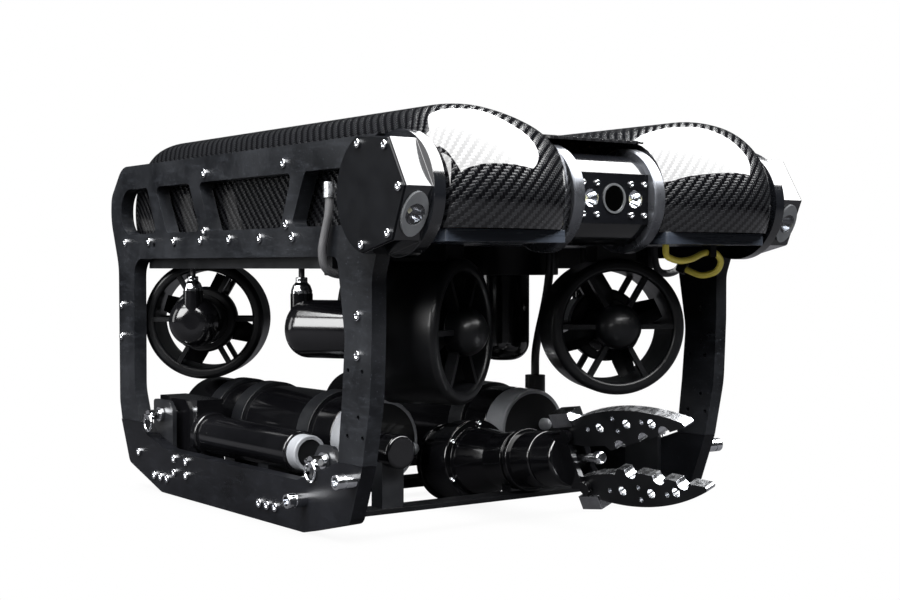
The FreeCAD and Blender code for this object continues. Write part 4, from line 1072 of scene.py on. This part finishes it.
@dataclass
class Optics:
    """Reflectors, light chips and the camera's lens in the tilting head, in millimetres."""

    finishes: Finishes
    flat: float = 36.0
    head_spread: float = 27.0
    head_bowl: tuple[float, float] = (8.3, 7.0)
    pod_reach: float = 47.67
    pod_turn: float = -23.0
    pod_middle: float = 226.3
    pod_bowl: tuple[float, float] = (9.2, 8.0)
    bowl_wall: float = 0.15
    chip_radius: float = 2.7
    chip_rise: float = 0.8
    barrel: tuple[float, float] = (11.9, 9.0)

    def head_lamps(self) -> list[Lamp]:
        """The two small lamps beside the camera.

        Returns:
            The starboard lamp and the port lamp.
        """
        way = Vector((1, 0, 0))
        radius, depth = self.head_bowl
        return [Lamp(f"head_lamp_{side.word}",
                     AXIS + Vector((self.flat, side.value * self.head_spread, 0)) * MM,
                     way, radius * MM, depth * MM, Look.LAMP_MIRROR) for side in Side]

    def pod_lamps(self) -> list[Lamp]:
        """The lamp on each light pod's lower front flat.

        Returns:
            The starboard lamp and the port lamp.
        """
        turn = math.radians(self.pod_turn)
        way = Vector((math.cos(turn), 0, math.sin(turn)))
        radius, depth = self.pod_bowl
        return [Lamp(f"pod_lamp_{side.word}", AXIS + way * self.pod_reach * MM
                     + Vector((0, side.value * self.pod_middle, 0)) * MM, way, radius * MM, depth * MM,
                     Look.LAMP_SMOKE) for side in Side]

    def lens_well(self) -> Well:
        """The recess behind the camera window."""
        radius, depth = self.barrel
        return Well(AXIS + Vector((self.flat, 0, 0)) * MM, Vector((-1, 0, 0)), radius * MM, depth * MM)

    def fit(self, piece: bpy.types.Object, look: Look, angle: float = 30.0) -> None:
        """Finishes a piece and fixes it to the head.

        Args:
            piece: The new piece.
            look: Its finish.
            angle: Crease angle in degrees.
        """
        self.finishes.on(piece, look)
        shade(piece, angle)
        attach(piece, "head")
        report(piece)

    def reflector(self, lamp: Lamp) -> None:
        """A bowl whose radius is R * sqrt(h / depth) at height h, with a square chip at its foot.

        Args:
            lamp: The lamp it belongs to.
        """
        share = np.linspace(0.05, 1, 14)
        radius = (lamp.radius - 0.2 * MM) * np.sqrt(share)
        x = -lamp.depth * (1 - share)
        foot = x[0]
        back = foot - 0.2 * MM
        outside = radius[-1] + self.bowl_wall * MM
        profile = [(foot, 0), *zip(x, radius), (x[-1], outside), (back, outside), (back, 0)]
        self.fit(lathe(lamp.name + "_bowl", profile, lamp.mouth, lamp.way, 48), lamp.look, 40.0)
        face = foot + self.chip_rise * MM
        half = self.chip_radius * MM
        chip = lathe(lamp.name + "_chip", [(foot, 0), (foot, half), (face, half), (face, 0)],
                     lamp.mouth, lamp.way, 4)
        self.fit(chip, Look.LAMP_CHIP)

    def lens(self) -> None:
        """Stepped black barrel round a domed front element.

        The dome's radius is ball * sin a at height ball * cos a over its rim.
        """
        well = self.lens_well()
        way = -well.way
        depth = well.depth
        rim = well.radius - 0.1 * MM
        floor, back = -depth + 0.2 * MM, -depth + 0.1 * MM
        steps = [(floor, 0), (floor, 5 * MM), (-5 * MM, 5.6 * MM), (-5 * MM, 7.6 * MM), (-3 * MM, 8 * MM),
                 (-3 * MM, 9.8 * MM), (-0.6 * MM, 10.6 * MM), (-0.6 * MM, rim), (back, rim), (back, 0)]
        self.fit(lathe("camera_barrel", steps, well.mouth, way, 48), Look.LENS_BLACK)
        angle = np.linspace(0, 1, 10) * math.radians(38)
        ball, seat, root = 8.6 * MM, -5.4 * MM, -6.4 * MM
        height = ball * (np.cos(angle) - np.cos(angle[-1])) + seat
        dome = list(zip(height, ball * np.sin(angle)))
        self.fit(lathe("camera_element", dome + [(root, dome[-1][1]), (root, 0)], well.mouth, way, 48),
                 Look.LENS_COATED, 60.0)

    def build(self) -> None:
        """Makes every lamp and the camera's lens."""
        for lamp in self.head_lamps() + self.pod_lamps():
            self.reflector(lamp)
        self.lens()


# ---------------------------------------------------------------- skid load

@dataclass
class Jaws:
    """Both jaw plates: black faces, a pale metal on the edges and hole walls as a painted highlight for the
    light those walls catch, and a bright steel lug.
    """

    stock: Stock
    tilt: float = 7.0
    roll: float = 20.0
    root: tuple[float, float, float] = (-180.5, 0.0, -264.9)
    lug_run: float = 191.0
    lug_foot: float = 35.0
    lug_height: float = 39.6
    plate_half: float = 6.2
    face_slope: float = 0.6

    def frame_axes(self) -> tuple[Vector, Vector]:
        """The directions of the jaw plates, from the arm's tilt and the wrist's roll.

        Returns:
            The way across the plates and the way up from the arm's axis.
        """
        tilt, roll = math.radians(self.tilt), math.radians(self.roll)
        up = Vector((-math.sin(tilt), 0, math.cos(tilt)))
        side = Vector((0, 1, 0))
        return math.cos(roll) * side + math.sin(roll) * up, math.cos(roll) * up - math.sin(roll) * side

    def build(self) -> None:
        """Stands in for both jaws and sorts their faces by where they point and lie."""
        across, up = self.frame_axes()
        along = across.cross(up)
        start = AXIS + Vector(self.root) * MM
        for node in ("jaw_upper", "jaw_lower"):
            piece = self.stock.soften(node, Look.MOULDING_SATIN, 0.5 * MM)
            # The pale metal goes on the edges and hole walls as a painted highlight.
            for look in (Look.MACHINED_EDGE, Look.POLISHED_STEEL):
                piece.data.materials.append(self.stock.finishes[look])
            for face in piece.data.polygons:
                spot = face.center - start
                height = abs(spot.dot(up)) / MM
                width = abs(spot.dot(across)) / MM
                run = abs(spot.dot(along)) / MM
                outside = width > self.plate_half or height > self.lug_height
                if run < self.lug_run and height > self.lug_foot and outside:
                    face.material_index = 2
                elif abs(face.normal.dot(across)) < self.face_slope:
                    face.material_index = 1
            LOG.info("sorted the faces of %s", piece.name)


@dataclass
class CapFaces:
    """Dark faces on the grey caps of both pressure tubes, with two plugs each, and the canister's plug.

    Lengths are in millimetres. A plug's place is (outward, upward) from the middle of its cap.
    """

    finishes: Finishes
    radius: float = 43.5
    band: float = 5.0
    cap_length: float = 30.0
    plug_places: tuple[tuple[float, float], ...] = ((14, 5), (-34, -9))
    plug_profile: tuple[tuple[float, float], ...] = ((0, 0), (0, 6.5), (6, 6.5), (9, 4.5), (10, 0))
    canister: tuple[float, float, float] = (-209.0, -178.0, -246.5)
    canister_profile: tuple[tuple[float, float], ...] = ((0, 0), (0, 13.9), (1.6, 13.9), (1.9, 12), (1.9, 0))

    def turned(self, name: str, profile: tuple[tuple[float, float], ...], place: Vector,
               turns: int) -> bpy.types.Object:
        """Turns a profile in millimetres about a fore and aft axis.

        Args:
            name: The piece's name.
            profile: (distance forward, radius) pairs.
            place: Where the profile's zero lies, in metres.
            turns: Steps round the axis.

        Returns:
            The turned piece.
        """
        return lathe(name, [(x * MM, r * MM) for x, r in profile], place, Vector((1, 0, 0)), turns)

    def fit(self, piece: bpy.types.Object, look: Look, angle: float = 30.0) -> None:
        """Finishes a piece and fixes it to the frame.

        Args:
            piece: The new piece.
            look: Its finish.
            angle: Crease angle in degrees.
        """
        self.finishes.on(piece, look)
        shade(piece, angle)
        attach(piece, "frame")
        report(piece)

    def build(self) -> None:
        """Makes the canister's plug, then a face and its plugs for each tube."""
        place = AXIS + Vector(self.canister) * MM
        self.fit(self.turned("canister_plug", self.canister_profile, place, 48), Look.MOULDING_SATIN)
        inner = self.radius - self.band
        dish = ((0, 0), (0.2, 0), (0.2, inner), (0.1, inner + 0.6), (-0.1, inner + 0.6))
        for side in Side:
            low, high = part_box(f"pressure_tube_{side.word}")
            middle = Vector((high.x + self.cap_length * MM, (low.y + high.y) / 2, (low.z + high.z) / 2))
            self.fit(self.turned(f"cap_face_{side.word}", dish, middle, 64), Look.MOULDING_SATIN)
            spots = [middle + Vector((0, side.value * out, up)) * MM for out, up in self.plug_places]
            plugs = [self.turned("plug", self.plug_profile, spot, 24) for spot in spots]
            self.fit(joined(f"cap_plugs_{side.word}", plugs), Look.CAP, 50.0)


@dataclass
class Hoses:
    """Braided sleeves of the two lamp hoses, in place of the plain hoses.

    The route is in millimetres, with the tilt axis at axis_x.
    """

    finishes: Finishes
    radius: float = 3.95
    axis_x: float = 220.0
    route: tuple[tuple[float, float, float], ...] = (
        (130, -226, 311), (130, -226, 298), (123, -226.5, 279), (119, -228, 262), (118, -224, 246),
        (117, -208, 241), (117, -193, 243), (117, -187, 256), (117, -187, 270))

    def build(self) -> None:
        """Makes both hoses as one piece, the port one mirrored."""
        zero = AXIS.x - self.axis_x * MM
        line = route_line(list(self.route)) + np.array([zero, 0, 0])
        sleeves = [tube("hose", line * np.array([1, flip, 1]), self.radius * MM) for flip in (1, -1)]
        piece = joined("hose_sleeves", sleeves)
        self.finishes.on(piece, Look.BRAIDED_SLEEVE)
        shade(piece, 60.0)
        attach(piece, "frame")
        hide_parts("lamp_hoses")
        report(piece)


# ---------------------------------------------------------------- whole vehicle

DUCT_EDGE = 0.6
POD_EDGE = 0.8
HOUSING_EDGE = 0.4
PLAIN: dict[str, Look] = {
    "buoyancy_foam": Look.FOAM,
    "camera_glass": Look.CLEAR_PORT,
    "lamp_glasses": Look.CLEAR_PORT,
    "yellow_lead": Look.YELLOW_JACKET,
    "black_leads": Look.BLACK_JACKET,
    "motor_pods": Look.MOULDING_GLOSS,
    "pod_glands": Look.POLISHED_STEEL,
    "head_screws": Look.POLISHED_STEEL,
    "frame_screws": Look.POLISHED_STEEL,
    "grabber_screws": Look.POLISHED_STEEL,
    "thumb_screws": Look.POLISHED_STEEL,
    "hose_elbows": Look.BRUSHED_STEEL,
    "lead_fittings": Look.MOULDING_SATIN,
    "grabber_rod": Look.POLISHED_STEEL,
    "grabber_body": Look.MOULDING_GLOSS,
    "pressure_tube_port": Look.MOULDING_GLOSS,
    "pressure_tube_starboard": Look.MOULDING_GLOSS,
    "sensor_canisters": Look.MOULDING_GLOSS,
    "end_caps": Look.CAP,
    "tilt_shafts": Look.BRUSHED_STEEL,
    "lens_bezels": Look.BEZEL,
}
ROUNDED: dict[str, tuple[Look, float]] = {
    "side_plate_port": (Look.SIDE_PLATE, 0.8),
    "side_plate_starboard": (Look.SIDE_PLATE, 0.8),
    "skid_plate_port": (Look.SKID_PLATE, 0.8),
    "skid_plate_starboard": (Look.SKID_PLATE, 0.8),
    "splice_plates": (Look.CLAMP, 0.5),
    "deck_plate": (Look.DECK, 0.7),
    "skid_bars": (Look.MOULDING_SATIN, 0.6),
    "tilt_bearings": (Look.CLAMP, 0.5),
    "housing_flanges": (Look.FLANGE, 0.3),
    "camera_front": (Look.HOUSING, 0.3),
    "pod_covers": (Look.POD_COVER, 0.5),
    "tube_clamps": (Look.CLAMP, 0.5),
    "grabber_clamp": (Look.MOULDING_GLOSS, 0.5),
    "grabber_wrist": (Look.MOULDING_GLOSS, 0.4),
}


def main() -> None:
    """Builds the studio and every sub-assembly in order, and reports each piece."""
    logging.basicConfig(level=logging.INFO, format="%(message)s")
    Studio().build()
    finishes = Finishes()
    stock = Stock(finishes)
    for node, look in PLAIN.items():
        stock.dress(node, look)
    for node, (look, width) in ROUNDED.items():
        stock.soften(node, look, width * MM)
    for node in frame["nodes"]:
        if node.startswith("duct_"):
            stock.soften(node, Look.MOULDING_SATIN, DUCT_EDGE * MM)
        elif node.startswith("propeller_"):
            stock.dress(node, Look.MOULDING_SATIN)
        elif node.startswith("release_pin_"):
            stock.dress(node, Look.POLISHED_STEEL)
    optics = Optics(finishes)
    optics.build()
    for lamp, side in zip(optics.pod_lamps(), Side):
        stock.soften(f"light_pod_{side.word}", Look.POD, POD_EDGE * MM, wells=(lamp.well(),))
    stock.soften("camera_housing", Look.HOUSING, HOUSING_EDGE * MM,
                 wells=tuple(lamp.well() for lamp in optics.head_lamps()) + (optics.lens_well(),))
    Jaws(stock).build()
    CapFaces(finishes).build()
    Hoses(finishes).build()
    Floats(finishes).build()


if __name__ == "__main__":
    main()
